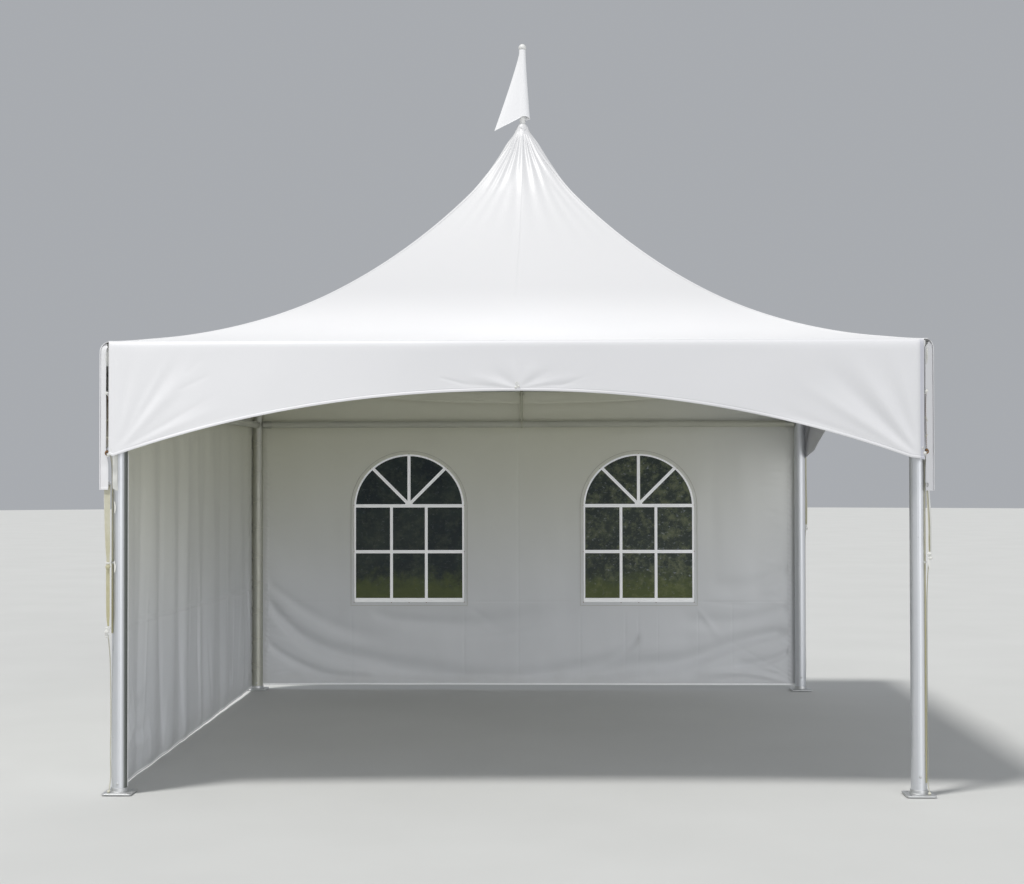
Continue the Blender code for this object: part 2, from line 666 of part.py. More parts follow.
def corner_straps(finish):
    """Webbing that ties the corner of the canopy down, knotted to a rope beside the leg."""
    inward = (CLOTH + GAP + STRAP_THICKNESS) / math.sqrt(2)
    tail_x = SIDE_VALANCE_REACH - TAIL_WIDTH / 2 - inward
    tail_y = -(SIDE_VALANCE_HALF + TAIL_WIDTH / 2 - inward)
    side = math.radians(ROPE_SIDE_ANGLE)
    away = LEG_RADIUS + GAP + ROPE_DIAMETER / 2
    rope_x = HALF + away * math.cos(side)
    rope_y = -(HALF + away * math.sin(side))
    rope = ROPE_DIAMETER / 2
    knot = KNOT_WIDTH / 2
    knot_x = rope_x + knot
    shoulder = (knot * KNOT_SHOULDER, knot * KNOT_SHOULDER * KNOT_FLATNESS)
    rope_end = PLATE_THICKNESS + GAP
    flat = STRAP_THICKNESS / 2
    levels = [
        (tail_x, tail_y, TAIL_BOTTOM + STRAP_LAP, STRAP_WIDTH / 2, flat),
        (tail_x, tail_y, TAIL_BOTTOM - STRAP_LAP / 2, STRAP_WIDTH / 2, flat),
        (knot_x, rope_y, KNOT_HEIGHT + STRAP_NECK, rope, STRAP_THICKNESS),
        (knot_x, rope_y, KNOT_HEIGHT + knot, *shoulder),
        (knot_x, rope_y, KNOT_HEIGHT, knot, knot * KNOT_FLATNESS),
        (knot_x, rope_y, KNOT_HEIGHT - knot, *shoulder),
        (knot_x, rope_y, KNOT_HEIGHT - STRAP_NECK, rope, rope),
        (rope_x, rope_y, KNOT_HEIGHT - ROPE_LEAD, rope, rope),
        (rope_x, rope_y, rope_end, rope, rope),
    ]
    for corner, (x, y, _) in CORNERS.items():
        mesh = strand_mesh("corner_strap_" + corner, levels, (x, -y))
        place("corner_strap_" + corner, mesh, finish)


def pennant(finish):
    """A limp flag: it wraps the front of its pole as a cone and hangs out to the left as a point."""
    turns = np.radians(np.linspace(PENNANT_WRAP_ANGLE, -90, PENNANT_WRAP_STEPS + 1))
    top = flagpole_top() - PENNANT_TOP_DROP
    outer = []
    inner = []
    for row in range(PENNANT_ROWS + 1):
        fall = row / PENNANT_ROWS
        radius = POLE_RADIUS + GAP + PENNANT_FLARE * fall
        rim = radius + PENNANT_THICKNESS
        length = PENNANT_LENGTH * fall + PENNANT_THICKNESS
        near = []
        far = []
        for angle in turns:
            height = top - PENNANT_WRAP_HEIGHT * fall
            near.append((radius * math.cos(angle), radius * math.sin(angle), height))
            far.append((rim * math.cos(angle), rim * math.sin(angle), height))
        for step in range(1, PENNANT_POINT_STEPS + 1):
            share = step / PENNANT_POINT_STEPS
            height = top - (PENNANT_WRAP_HEIGHT + PENNANT_TIP_DROP * share) * fall
            near.append((-length * share, -radius, height))
            far.append((-length * share, -rim, height))
        inner.append(near)
        outer.append(far)
    place("pennant", sheet_mesh("pennant", np.array(outer), np.array(inner)), finish)


def main():
    clear_scene()
    finishes = {
        "aluminium": material("aluminium", (0.55, 0.56, 0.56), 0.35, 1.0),
        "steel": material("steel", (0.42, 0.42, 0.41), 0.5, 1.0),
        "cast_metal": material("cast_metal", (0.60, 0.60, 0.58), 0.5, 1.0),
        "canopy": material("canopy", (0.86, 0.87, 0.87), 0.55),
        "valance": material("valance", (0.80, 0.82, 0.84), 0.55),
        "wall_vinyl": material("wall_vinyl", (0.55, 0.57, 0.57), 0.5),
        "clear_vinyl": material("clear_vinyl", (0.10, 0.13, 0.12), 0.12),
        "webbing": material("webbing", (0.60, 0.58, 0.35), 0.8),
        "cable": material("cable", (0.45, 0.45, 0.45), 0.4, 1.0),
        "pennant": material("pennant", (0.80, 0.80, 0.80), 0.6),
    }
    frame(finishes)
    mast_and_stays(finishes)
    for side, turn in SIDES.items():
        roof_panel(side, turn, finishes["canopy"])
        valance(side, turn, finishes["valance"])
    for side in ("rear", "left"):
        inner_flap(side, SIDES[side], finishes["valance"])
    walls(finishes)
    corner_straps(finishes["webbing"])
    pennant(finishes["pennant"])


main()
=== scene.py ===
"""Looks of a square frame tent: cloth, windows, fittings, camera and light around the fixed frame.

Metres, +Z up, seen from the open front along +Y.
"""

import math

import bmesh
import bpy
import numpy as np
from mathutils import Matrix, Vector


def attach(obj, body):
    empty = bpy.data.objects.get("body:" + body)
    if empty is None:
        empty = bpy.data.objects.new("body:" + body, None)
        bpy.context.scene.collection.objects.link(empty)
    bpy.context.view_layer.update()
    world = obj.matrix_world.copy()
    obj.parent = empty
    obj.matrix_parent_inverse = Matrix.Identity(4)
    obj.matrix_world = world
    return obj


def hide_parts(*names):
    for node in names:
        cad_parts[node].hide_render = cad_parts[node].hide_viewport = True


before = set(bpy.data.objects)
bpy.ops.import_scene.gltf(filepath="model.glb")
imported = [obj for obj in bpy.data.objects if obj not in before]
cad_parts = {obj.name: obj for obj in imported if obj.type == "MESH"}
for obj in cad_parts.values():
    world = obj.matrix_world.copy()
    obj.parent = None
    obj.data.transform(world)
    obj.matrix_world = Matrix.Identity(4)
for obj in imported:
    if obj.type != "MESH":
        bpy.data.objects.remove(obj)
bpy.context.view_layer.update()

# Frame of the tent
HALF = 2.286
LEG_RADIUS = 0.0445
BEAM_RADIUS = 0.025
BEAM_HEIGHT = 2.535
RAIL_HEIGHT = 2.235
PLATE_SIDE = 0.170
PLATE_THICKNESS = 0.010
FOOT_BOLT_LEFT = 0.058
FOOT_BOLT_RIGHT = 0.109
HANGER_X = -0.050

# Canopy
EAVE = 2.340
EAVE_HEIGHT = 2.595
PEAK = 0.034
ROOF_PITCH = 1.245
ROOF_SAG = 1.435
PEAK_FLARE = 0.052
PEAK_FLARE_WIDTH = 0.050
PEAK_ROUNDING = 0.100
PANEL_BULGE = 0.055
CANOPY_CLOTH = 0.0016
CURTAIN_CLOTH = 0.0015
ARCH_TOP = 2.303
ARCH_DROP = 0.380
ARCH_POWER = 2.15
VALANCE_BULGE = {"front": 0.045, "rear": 0.045, "left": 0.059, "right": 0.039}
BULGE_DEPTH = 0.057
SIDE_HALF = 2.295
TAIL_BOTTOM = 1.743
SHORT_TAIL_BOTTOM = 1.955
SHORT_TAIL_DRAWN_IN = 0.042
WIDE_REACH = 2.385
TIE_HEIGHT = 1.778
HEM_HEIGHT = 0.016

# Walls and windows
WALL_INNER = 2.3308
WALL_CLOTH = 0.0016
WALL_TOP = 2.485
BACK_HALF = 2.305
BACK_BOTTOM = 0.035
LACED_EDGES = (-2.215, 2.195)
BELT = 0.736
LEFT_FRONT = 2.2412
TUCK = 0.079
TUCK_LENGTH = 0.340
TUCK_TOP = 2.170
TUCK_FULL = 1.930
WINDOW_HALF = 0.451
SILL = 0.746
SPRING = 1.539
ARCH_RISE = 0.430
WINDOW_MIDDLE = 1.25
TRANSOM = 1.547
MIDDLE_BAR = 1.159
UPRIGHTS = (-0.149, 0.146)
HUB_HEIGHT = 1.558
SPOKES = (46, 90, 134)
WINDOWS = {"left": -1.007, "right": 0.935}
PANE_NEAR = 2.3341
PANE_FAR = 2.3356

SIDES = {"front": 0, "right": 90, "rear": 180, "left": 270}
CORNERS = {
    "front_left": (-1, -1),
    "front_right": (1, -1),
    "rear_right": (1, 1),
    "rear_left": (-1, 1),
}
SHARP_ANGLE = math.radians(40)


# Shader maths

class Value:
    """A number or colour that varies over a surface. Arithmetic on it adds Math nodes."""

    def __init__(self, look, socket):
        self.look = look
        self.socket = socket

    def math(self, operation, *others):
        inputs = dict(enumerate((self, *others)))
        return self.look.node("ShaderNodeMath", {"operation": operation}, inputs)

    def __add__(self, other):
        return self.math("ADD", other)

    def __sub__(self, other):
        return self.math("SUBTRACT", other)

    def __mul__(self, other):
        return self.math("MULTIPLY", other)

    def __rsub__(self, other):
        return self * -1.0 + other

    __radd__ = __add__
    __rmul__ = __mul__

    def step(self, low, high):
        """Rises smoothly from 0 at low to 1 at high."""
        settings = {"interpolation_type": "SMOOTHSTEP"}
        return self.look.node("ShaderNodeMapRange", settings, {0: self, 1: low, 2: high})


class Look:
    """One procedural finish."""

    def __init__(self, name, **constants):
        self.material = bpy.data.materials.new(name)
        self.material.use_nodes = True
        self.tree = self.material.node_tree
        self.shader = self.tree.nodes["Principled BSDF"]
        for socket, value in constants.items():
            self.shader.inputs[socket.replace("_", " ")].default_value = value

    def node(self, kind, settings=None, inputs=None, output=0):
        made = self.tree.nodes.new(kind)
        for name, value in (settings or {}).items():
            setattr(made, name, value)
        for name, value in (inputs or {}).items():
            if isinstance(value, Value):
                self.tree.links.new(value.socket, made.inputs[name])
            else:
                made.inputs[name].default_value = value
        return Value(self, made.outputs[output])

    def feed(self, **values):
        for socket, value in values.items():
            self.tree.links.new(value.socket, self.shader.inputs[socket.replace("_", " ")])

    def place(self):
        return self.node("ShaderNodeTexCoord", output="Object")

    def axes(self):
        vector = {0: self.place()}
        return [self.node("ShaderNodeSeparateXYZ", None, vector, output=i) for i in range(3)]

    def cloth_axes(self):
        """Distances across and along the cloth, in metres."""
        vector = {0: self.node("ShaderNodeUVMap", {"uv_map": "cloth"})}
        return [self.node("ShaderNodeSeparateXYZ", None, vector, output=i) for i in range(2)]

    def noise(self, scale, detail=3.0, stretch=(1, 1, 1), rough=0.5):
        spot = self.node("ShaderNodeMapping", None, {"Vector": self.place(), "Scale": stretch})
        inputs = {"Vector": spot, "Scale": scale, "Detail": detail, "Roughness": rough}
        return self.node("ShaderNodeTexNoise", None, inputs)

    def blend(self, share, under, over):
        """Goes from one colour to another with share. The one under may itself vary over the surface."""
        inputs = {0: share, 6: under if isinstance(under, Value) else (*under, 1.0), 7: (*over, 1.0)}
        settings = {"data_type": "RGBA", "clamp_factor": True}
        return self.node("ShaderNodeMix", settings, inputs, output=2)

    def bump(self, height, distance, strength=1.0):
        inputs = {"Height": height, "Distance": distance, "Strength": strength}
        self.feed(Normal=self.node("ShaderNodeBump", None, inputs))


def scrim(look, pitch):
    """Fine grid of yarns that shows through a coated cloth."""
    across, along = look.cloth_axes()
    waves = [(axis * (2 * math.pi / pitch)).math("SINE") for axis in (across, along)]
    return waves[0] * waves[1] * 0.5 + 0.5


def coated_cloth(name, light, dark, roughness, dirt=0.0, painted_glow=0.0, shade=None, facet=None):
    """Coated polyester: scrim and faint mottling. A wall has also caught dust below, and painted shade makes it
    darker and yellower towards its top and greyer towards +X. facet paints shade on a curtain towards +X and on
    its right end facet; shade paints the canopy darker on its upper slope; any emission is painted light.
    """
    # Any emission given here is painted light: the cloth gives off white light of its own.
    look = Look(name, Coat_Weight=0.12, Coat_Roughness=0.35, Sheen_Weight=0.06,
                Emission_Color=(1.0, 1.0, 1.0, 1.0), Emission_Strength=painted_glow)
    mottle = look.noise(1.3, 4.0)
    fine = look.noise(38.0, 2.0)
    colour = look.blend((mottle - 0.35) * 1.6, dark, light)
    colour = look.blend((fine - 0.55) * 0.25, colour, dark)
    if dirt:
        height = look.axes()[2]
        splash = (1 - (height + look.noise(7.0, 3.0) * 0.22).step(0.05, 0.34)) * dirt
        colour = look.blend(splash, colour, (0.33, 0.32, 0.26))
        # Painted shade: a wall darker and yellower towards its top.
        colour = look.blend(height.step(0.5, 2.5) * 0.78, colour, (0.755, 0.745, 0.55))
        # Painted shade: a wall greyer towards +X.
        colour = look.blend(look.axes()[0].step(0.3, 2.3) * 0.60, colour, (0.67, 0.68, 0.69))
    if facet:
        side, front, _ = look.axes()
        edge = side.step(2.284, 2.290) * (1 - side.step(2.322, 2.326))
        edge = edge * (1 - front.step(-2.376, -2.350))
        # Painted shade: a curtain darker towards +X, and darker and bluer on the front curtain's right end
        # facet.
        colour = look.blend(side.step(-2.1, 0.7) * 0.90, colour, (0.725, 0.725, 0.740))
        colour = look.blend(edge, colour, facet)
    if shade:
        colour = look.blend(look.axes()[2].step(2.63, 3.05), colour, shade)
    look.feed(Base_Color=colour, Roughness=fine * 0.14 + mottle * 0.08 + (roughness - 0.11))
    look.bump(scrim(look, 0.0036) * 0.25 + fine * 0.5 + mottle * 0.6, 0.0006, 0.5)
    return look.material


def brushed_metal(name, light, dark, roughness, grain=(1, 1, 0.02), spots=0.25, painted_shade_band=None):
    """Drawn or cast metal with long grain, matt patches and small scuffs, and where asked a painted shade band:
    a dark strip between two X positions.
    """
    look = Look(name, Metallic=1.0)
    streaks = look.noise(140.0, 3.0, grain)
    patches = look.noise(4.5, 4.0)
    scuffs = look.noise(46.0, 5.0, rough=0.7).step(0.62, 0.70)
    colour = look.blend(patches * 0.7 + streaks * 0.3, dark, light)
    colour = look.blend(scuffs * spots, colour, tuple(0.55 * c for c in dark))
    # Painted shade: a dark strip down one side of a leg, between two X positions.
    if painted_shade_band:
        colour = look.blend(look.axes()[0].step(*painted_shade_band) * 0.80, colour, (0.10, 0.115, 0.09))
    wear = streaks * 0.16 + patches * 0.14 + scuffs * 0.1
    look.feed(Base_Color=colour, Roughness=wear + (roughness - 0.15))
    look.bump(streaks + scuffs * 0.6, 0.0003, 0.4)
    return look.material


def window_film():
    """Dark, near-opaque film coloured with painted reflections: mottled teal, green patches and small bright
    glints, stronger towards +X, and greener at its foot.
    """
    look = Look("window_film", Coat_Weight=0.12, Coat_Roughness=0.06, IOR=1.33, Alpha=0.985)
    ripple = look.noise(5.0, 3.0, (1, 1, 0.6))
    smear = look.noise(2.1, 4.0)
    side, _, height = look.axes()
    # Painted reflections from here on: lighter towards +X, with green patches and bright glints that clear
    # makes stronger towards +X.
    clear = side.step(-0.6, 1.3) * 0.92 + 0.18
    patches = look.noise(3.5, 3.0).step(0.36, 0.62)
    colour = look.blend(patches, (0.007, 0.018, 0.021), (0.020, 0.034, 0.030))
    colour = look.blend(side.step(-0.6, 1.3) * 0.55, colour, (0.060, 0.074, 0.056))
    blotch = look.noise(13.0, 8.0, rough=0.75).step(0.44, 0.66)
    colour = look.blend(blotch * clear, colour, (0.140, 0.160, 0.092))
    speck = look.noise(24.0, 6.0, (1, 1, 1.6), rough=0.75).step(0.55, 0.70)
    colour = look.blend(speck * clear * 0.9, colour, (0.34, 0.37, 0.39))
    # Painted reflection: greener at the foot.
    low = (height * -1.0 + look.noise(9.0, 5.0, rough=0.7) * 0.4).step(-0.84, -0.62)
    colour = look.blend(low * 0.55, colour, (0.130, 0.160, 0.030))
    look.feed(Base_Color=colour, Roughness=smear * 0.16 + 0.06)
    look.bump(ripple + smear * 0.4, 0.004, 0.35)
    return look.material


def strap_web():
    """Woven webbing, cream above and yellow-green towards its foot."""
    look = Look("strap_web", Sheen_Weight=0.25)
    across, along = look.cloth_axes()
    rib = 2 * math.pi / 0.0042
    ribs = (along * rib).math("SINE") * (across * rib).math("SINE")
    height = look.axes()[2]
    greening = (1 - height.step(0.9, 1.75)) * 0.75 + (look.noise(22.0, 3.0) - 0.5) * 0.7
    colour = look.blend(greening, (0.66, 0.64, 0.50), (0.46, 0.41, 0.16))
    look.feed(Base_Color=colour, Roughness=ribs * 0.06 + 0.78)
    look.bump(ribs, 0.0007, 0.8)
    return look.material


def rope_fibre(name, light, dark):
    """Twisted fibre, soiled in patches, with its strands running along Z."""
    look = Look(name, Sheen_Weight=0.2)
    fibre = look.noise(260.0, 3.0, (1, 1, 0.25))
    dirt = look.noise(17.0, 3.0)
    colour = look.blend(dirt * 0.6 + fibre * 0.4, dark, light)
    look.feed(Base_Color=colour, Roughness=fibre * 0.2 + 0.68)
    look.bump(fibre, 0.0006, 0.8)
    return look.material


LOOKS = {
    "canopy": coated_cloth("canopy_cloth", (0.93, 0.925, 0.925), (0.88, 0.88, 0.885), 0.42,
                           shade=(0.69, 0.69, 0.695)),
    # Curtains: painted shade towards +X and on the front curtain's right end facet.
    "valance": coated_cloth("valance_cloth", (0.92, 0.915, 0.925), (0.855, 0.853, 0.865), 0.45,
                            facet=(0.59, 0.595, 0.655)),
    # Hem: emits light of its own, as painted light.
    "hem": coated_cloth("hem_painted_light", (0.90, 0.905, 0.91), (0.82, 0.83, 0.84), 0.40, painted_glow=0.10),
    "seam": coated_cloth("weld_seam", (0.56, 0.55, 0.46), (0.48, 0.47, 0.40), 0.45),
    # Rail sleeves: the wall cloth darker and more olive, as painted shade.
    "sleeve": coated_cloth("sleeve_cloth_painted_shade", (0.60, 0.60, 0.50), (0.52, 0.52, 0.43), 0.50),
    # Wall cloth: greyer and bluer than the canopy cloth, as painted shade; dust at its foot, and more painted
    # shade towards its top and towards +X.
    "wall": coated_cloth("wall_cloth", (0.80, 0.815, 0.835), (0.73, 0.745, 0.76), 0.50, 0.18),
    # Pennant: emits a little light of its own, as painted light.
    "pennant": coated_cloth("pennant_cloth", (0.92, 0.92, 0.925), (0.85, 0.85, 0.86), 0.60, painted_glow=0.03),
    # Window bars: emit light of their own, as painted light.
    "bar": coated_cloth("window_bar", (0.95, 0.955, 0.96), (0.86, 0.87, 0.88), 0.34, painted_glow=0.17),
    "tape": coated_cloth("white_tape", (0.84, 0.84, 0.82), (0.70, 0.70, 0.66), 0.62),
    "cap": coated_cloth("painted_cap", (0.85, 0.85, 0.84), (0.76, 0.76, 0.74), 0.34),
    "film": window_film(),
    "web": strap_web(),
    "rope": rope_fibre("white_rope", (0.74, 0.73, 0.64), (0.50, 0.49, 0.38)),
    "aluminium": brushed_metal("drawn_aluminium", (0.80, 0.81, 0.83), (0.66, 0.68, 0.71), 0.52),
    "steel": brushed_metal("zinc_steel", (0.72, 0.73, 0.73), (0.52, 0.53, 0.53), 0.54, (1, 1, 0.5), 0.4),
    "cast": brushed_metal("cast_alloy", (0.66, 0.66, 0.65), (0.47, 0.47, 0.46), 0.50, (1, 1, 1), 0.4),
    "wire": brushed_metal("wire_rope", (0.58, 0.58, 0.57), (0.38, 0.38, 0.37), 0.38, (1, 1, 1), 0.3),
    "rod": brushed_metal("dull_rod", (0.66, 0.66, 0.54), (0.48, 0.48, 0.38), 0.55, (1, 1, 0.5)),
    # Front left leg: drawn aluminium with a painted shade strip down its right edge.
    "leg": brushed_metal("drawn_leg", (0.80, 0.81, 0.83), (0.66, 0.68, 0.71), 0.52, painted_shade_band=(-2.262, -2.247)),
    "shaded": brushed_metal("shaded_aluminium", (0.62, 0.62, 0.55), (0.49, 0.49, 0.43), 0.54),
    "bronze": brushed_metal("aged_ring", (0.34, 0.20, 0.10), (0.16, 0.10, 0.06), 0.5, (1, 1, 1), 0.4),
}


# Mesh helpers

def add_object(name, data):
    """New object in the scene."""
    item = bpy.data.objects.new(name, data)
    bpy.context.scene.collection.objects.link(item)
    return item


def closed_mesh(name, points, faces):
    """Mesh of closed solids, with its faces turned outwards."""
    mesh = bpy.data.meshes.new(name)
    mesh.from_pydata(points, [], faces)
    bm = bmesh.new()
    bm.from_mesh(mesh)
    bmesh.ops.recalc_face_normals(bm, faces=bm.faces)
    bm.to_mesh(mesh)
    bm.free()
    return mesh


def add_piece(name, solids, look, stands_for=()):
    """One object from closed solids, each a pair of points and faces, with optional cloth distances."""
    points = []
    faces = []
    distances = []
    for solid in solids:
        start = len(points)
        points.extend(map(tuple, solid[0]))
        faces.extend([start + i for i in face] for face in solid[1])
        distances.extend(map(tuple, solid[2] if len(solid) > 2 else np.asarray(solid[0])[:, ::2]))
    mesh = closed_mesh(name, points, faces)
    layer = mesh.uv_layers.new(name="cloth")
    corners = np.zeros(len(mesh.loops), dtype=np.int32)
    mesh.loops.foreach_get("vertex_index", corners)
    layer.data.foreach_set("uv", np.array(distances, dtype=np.float32)[corners].ravel())
    mesh.shade_smooth()
    mesh.set_sharp_from_angle(angle=SHARP_ANGLE)
    mesh.materials.append(LOOKS[look])
    piece = add_object(name, mesh)
    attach(piece, "root")
    if stands_for:
        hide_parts(*stands_for)
    return piece


def cut(piece, solids):
    """Cuts separate solids out of a piece."""
    for solid in solids:
        tool = add_object("tool", closed_mesh("tool", [tuple(point) for point in solid[0]], solid[1]))
        modifier = piece.modifiers.new("cut", "BOOLEAN")
        modifier.operation = "DIFFERENCE"
        modifier.solver = "EXACT"
        modifier.object = tool
        bpy.context.view_layer.update()
        graph = bpy.context.evaluated_depsgraph_get()
        piece.data = bpy.data.meshes.new_from_object(piece.evaluated_get(graph))
        piece.modifiers.clear()
        bpy.data.objects.remove(tool, do_unlink=True)
    piece.data.name = piece.name


def distances_along(path):
    """Length of a path from its start to each of its points."""
    return np.cumsum(np.pad(np.linalg.norm(np.diff(path, axis=0), axis=1), (1, 0)))


def grid_normals(grid):
    """Unit normals of a grid of points."""
    down = np.gradient(grid, axis=0)
    across = np.gradient(grid, axis=1)
    normals = np.cross(across, down)
    return normals / np.maximum(np.linalg.norm(normals, axis=2, keepdims=True), 1e-12)


def curtain_normals(grid):
    """Unit normals of a grid of points of a curtain, all turned away from the tent."""
    normals = grid_normals(grid)
    return normals * np.sign(-normals[:, :, 1:2] + 1e-9)


def sheet_solid(face, back):
    """Closes two grids of points, one on each side of a cloth, with edges all round."""
    rows, columns = face.shape[:2]
    count = rows * columns
    index = np.arange(count).reshape(rows, columns)
    quads = np.stack([index[:-1, :-1], index[:-1, 1:], index[1:, 1:], index[1:, :-1]], axis=2)
    quads = quads.reshape(-1, 4)
    border = np.concatenate([index[0, :-1], index[:-1, -1], index[-1, :0:-1], index[:0:-1, 0]])
    after = np.roll(border, -1)
    edges = np.stack([border, border + count, after + count, after], axis=1)
    faces = quads.tolist() + (quads[:, ::-1] + count).tolist() + edges.tolist()
    along = np.cumsum(np.pad(np.linalg.norm(np.diff(face, axis=0), axis=2).mean(1), (1, 0)))
    across = np.cumsum(np.pad(np.linalg.norm(np.diff(face, axis=1), axis=2).mean(0), (1, 0)))
    flat = np.stack(np.meshgrid(across, along), axis=2).reshape(-1, 2)
    points = np.concatenate([face.reshape(-1, 3), back.reshape(-1, 3)])
    return points, faces, np.concatenate([flat, flat])


def cloth_solid(face, thickness):
    """A cloth whose shown face is a grid of points. It gets thicker against the grid's normals."""
    return sheet_solid(face, face - grid_normals(face) * thickness)


def turned(solid, matrix):
    """A solid moved and turned by a matrix."""
    points = np.asarray(solid[0]) @ np.array(matrix.to_3x3()).T + np.array(matrix.translation)
    distances = solid[2] if len(solid) > 2 else np.asarray(solid[0])[:, :2]
    return points, solid[1], distances


def round_z(degrees):
    """Matrix of a turn about the tent's middle."""
    return Matrix.Rotation(math.radians(degrees), 4, "Z")


def sweep_solid(path, wide, thick=None, across=(0, 0, 1), sides=10, power=2.0, closed=False,
                twist=None, lobes=0):
    """A strand along a path. wide and thick are half sizes at each point; power above 2 squares it."""
    path = np.asarray(path, dtype=float)
    count = len(path)
    wide = np.broadcast_to(np.asarray(wide, dtype=float), (count,))
    thick = wide if thick is None else np.broadcast_to(np.asarray(thick, dtype=float), (count,))
    if closed:
        tangents = np.roll(path, -1, axis=0) - np.roll(path, 1, axis=0)
    else:
        tangents = np.gradient(path, axis=0)
    tangents /= np.linalg.norm(tangents, axis=1, keepdims=True)
    side = np.broadcast_to(np.asarray(across, dtype=float), (count, 3))
    side = side - tangents * (side * tangents).sum(1, keepdims=True)
    side = side / np.linalg.norm(side, axis=1, keepdims=True)
    other = np.cross(tangents, side)
    if twist is not None:
        turn = np.asarray(twist)[:, None]
        side, other = (side * np.cos(turn) + other * np.sin(turn),
                       other * np.cos(turn) - side * np.sin(turn))
    angles = 2 * np.pi * (np.arange(sides) + 0.5) / sides
    cosines = np.sign(np.cos(angles)) * np.abs(np.cos(angles)) ** (2 / power)
    sines = np.sign(np.sin(angles)) * np.abs(np.sin(angles)) ** (2 / power)
    if lobes:
        strands = 0.88 + 0.12 * np.cos(lobes * angles)
        cosines, sines = cosines * strands, sines * strands
    rings = path[:, None, :] + side[:, None, :] * (wide[:, None] * cosines)[:, :, None]
    rings = rings + other[:, None, :] * (thick[:, None] * sines)[:, :, None]
    index = np.arange(count * sides).reshape(count, sides)
    following = np.roll(index, -1, axis=0) if closed else index[1:]
    current = index if closed else index[:-1]
    quads = np.stack([current, np.roll(current, -1, 1), np.roll(following, -1, 1), following], axis=2)
    faces = quads.reshape(-1, 4).tolist()
    if not closed:
        faces += [index[0, ::-1].tolist(), index[-1].tolist()]
    flat = np.broadcast_arrays(wide[:, None] * cosines, distances_along(path)[:, None])
    return rings.reshape(-1, 3), faces, np.stack(flat, axis=2).reshape(-1, 2)


def turned_solid(outline, sides=20, ring=False):
    """Turns an outline of (radius, height) points about Z. A ring outline leaves a bore."""
    points = []
    loops = []
    for radius, height in outline:
        if radius == 0:
            loops.append([len(points)] * sides)
            points.append((0, 0, height))
            continue
        loops.append(list(range(len(points), len(points) + sides)))
        for step in range(sides):
            angle = 2 * math.pi * step / sides
            points.append((radius * math.cos(angle), radius * math.sin(angle), height))
    faces = []
    pairs = list(zip(loops, loops[1:])) + ([(loops[-1], loops[0])] if ring else [])
    for low, high in pairs:
        for step in range(sides):
            after = (step + 1) % sides
            faces.append(list(dict.fromkeys((low[step], low[after], high[after], high[step]))))
    return np.array(points, dtype=float), faces


def smooth_path(spots, count):
    """Evenly spaced points on a smooth curve through a few spots."""
    spots = np.asarray(spots, dtype=float)
    padded = np.concatenate([2 * spots[:1] - spots[1:2], spots, 2 * spots[-1:] - spots[-2:-1]])
    dense = []
    for i in range(1, len(padded) - 2):
        a, b, c, d = padded[i - 1:i + 3]
        for t in np.linspace(0, 1, 24, endpoint=False):
            dense.append(0.5 * (2 * b + (c - a) * t + (2 * a - 5 * b + 4 * c - d) * t ** 2
                                + (3 * b - a - 3 * c + d) * t ** 3))
    dense = np.array(dense + [spots[-1]])
    lengths = distances_along(dense)
    even = np.linspace(0, lengths[-1], count)
    return np.stack([np.interp(even, lengths, dense[:, i]) for i in range(3)], axis=1)


def smoothstep(low, high, value):
    """Rises smoothly from 0 at low to 1 at high, or falls where high is the smaller."""
    share = np.clip((value - low) / (high - low), 0, 1)
    return share * share * (3 - 2 * share)


def crease(a, b, start, end, width, height, spread=0.6):
    """Relief of one soft crease from start to end over coordinates a and b. It widens as it goes."""
    da, db = end[0] - start[0], end[1] - start[1]
    length = math.hypot(da, db)
    share = ((a - start[0]) * da + (b - start[1]) * db) / length ** 2
    away = ((a - start[0]) * db - (b - start[1]) * da) / length
    grow = 1 - spread + 2 * spread * np.clip(share, 0, 1)
    fade = smoothstep(-0.04, 0.06, share) * smoothstep(1.05, 0.40, share)
    return height * grow * fade * np.exp(-(away / (width * grow)) ** 2)


def swag(x, z, spots, width, height):
    """Relief of one long curved swag through (x, z) spots, from its flat end to where it is pulled."""
    path = smooth_path([(a, 0, b) for a, b in spots], 90)
    shares = np.linspace(0, 1, 90)
    if path[0, 0] > path[-1, 0]:
        path, shares = path[::-1], shares[::-1]
    line = np.interp(x, path[:, 0], path[:, 2])
    share = np.interp(x, path[:, 0], shares)
    size = 1.25 - 0.65 * share
    fade = smoothstep(0, 0.35, share) * smoothstep(1.01, 0.95, share)
    return 1.9 * height * size * fade * np.exp(-((z - line) / (1.35 * width * size)) ** 2)


def add_creases(relief, a, b, start, table):
    """Adds creases that run from one spot. The table gives the end, width and height of each."""
    for end, width, height in table:
        relief = relief + crease(a, b, start, end, width, height)
    return relief


def ripples(a, b, seed, size, height, count=7):
    """Gentle seeded unevenness of a hanging cloth."""
    random = np.random.default_rng(seed)
    total = np.zeros(np.broadcast(a, b).shape)
    for _ in range(count):
        angle, phase = random.uniform(0, 2 * math.pi, 2)
        scale = size * random.uniform(0.6, 1.8)
        total += np.sin(2 * math.pi * (a * math.cos(angle) + b * math.sin(angle)) / scale + phase)
    return total * height / count ** 0.5


# Canopy

def roof_height(half_width):
    """Height of the canopy's hip where it is half_width out: a sagging slope that flares up at the peak."""
    slope = ROOF_PITCH * (EAVE - half_width)
    sag = ROOF_SAG * (1 - (half_width / EAVE) ** 2)
    flare = np.log((EAVE + PEAK_FLARE_WIDTH) / (half_width + PEAK_FLARE_WIDTH))
    tip = 0.040 * np.exp(-(half_width - PEAK) / 0.065)
    rim = 0.010 * smoothstep(1.2, 1.9, half_width) * smoothstep(EAVE, 2.1, half_width)
    return EAVE_HEIGHT + slope - sag + PEAK_FLARE * flare + tip + rim


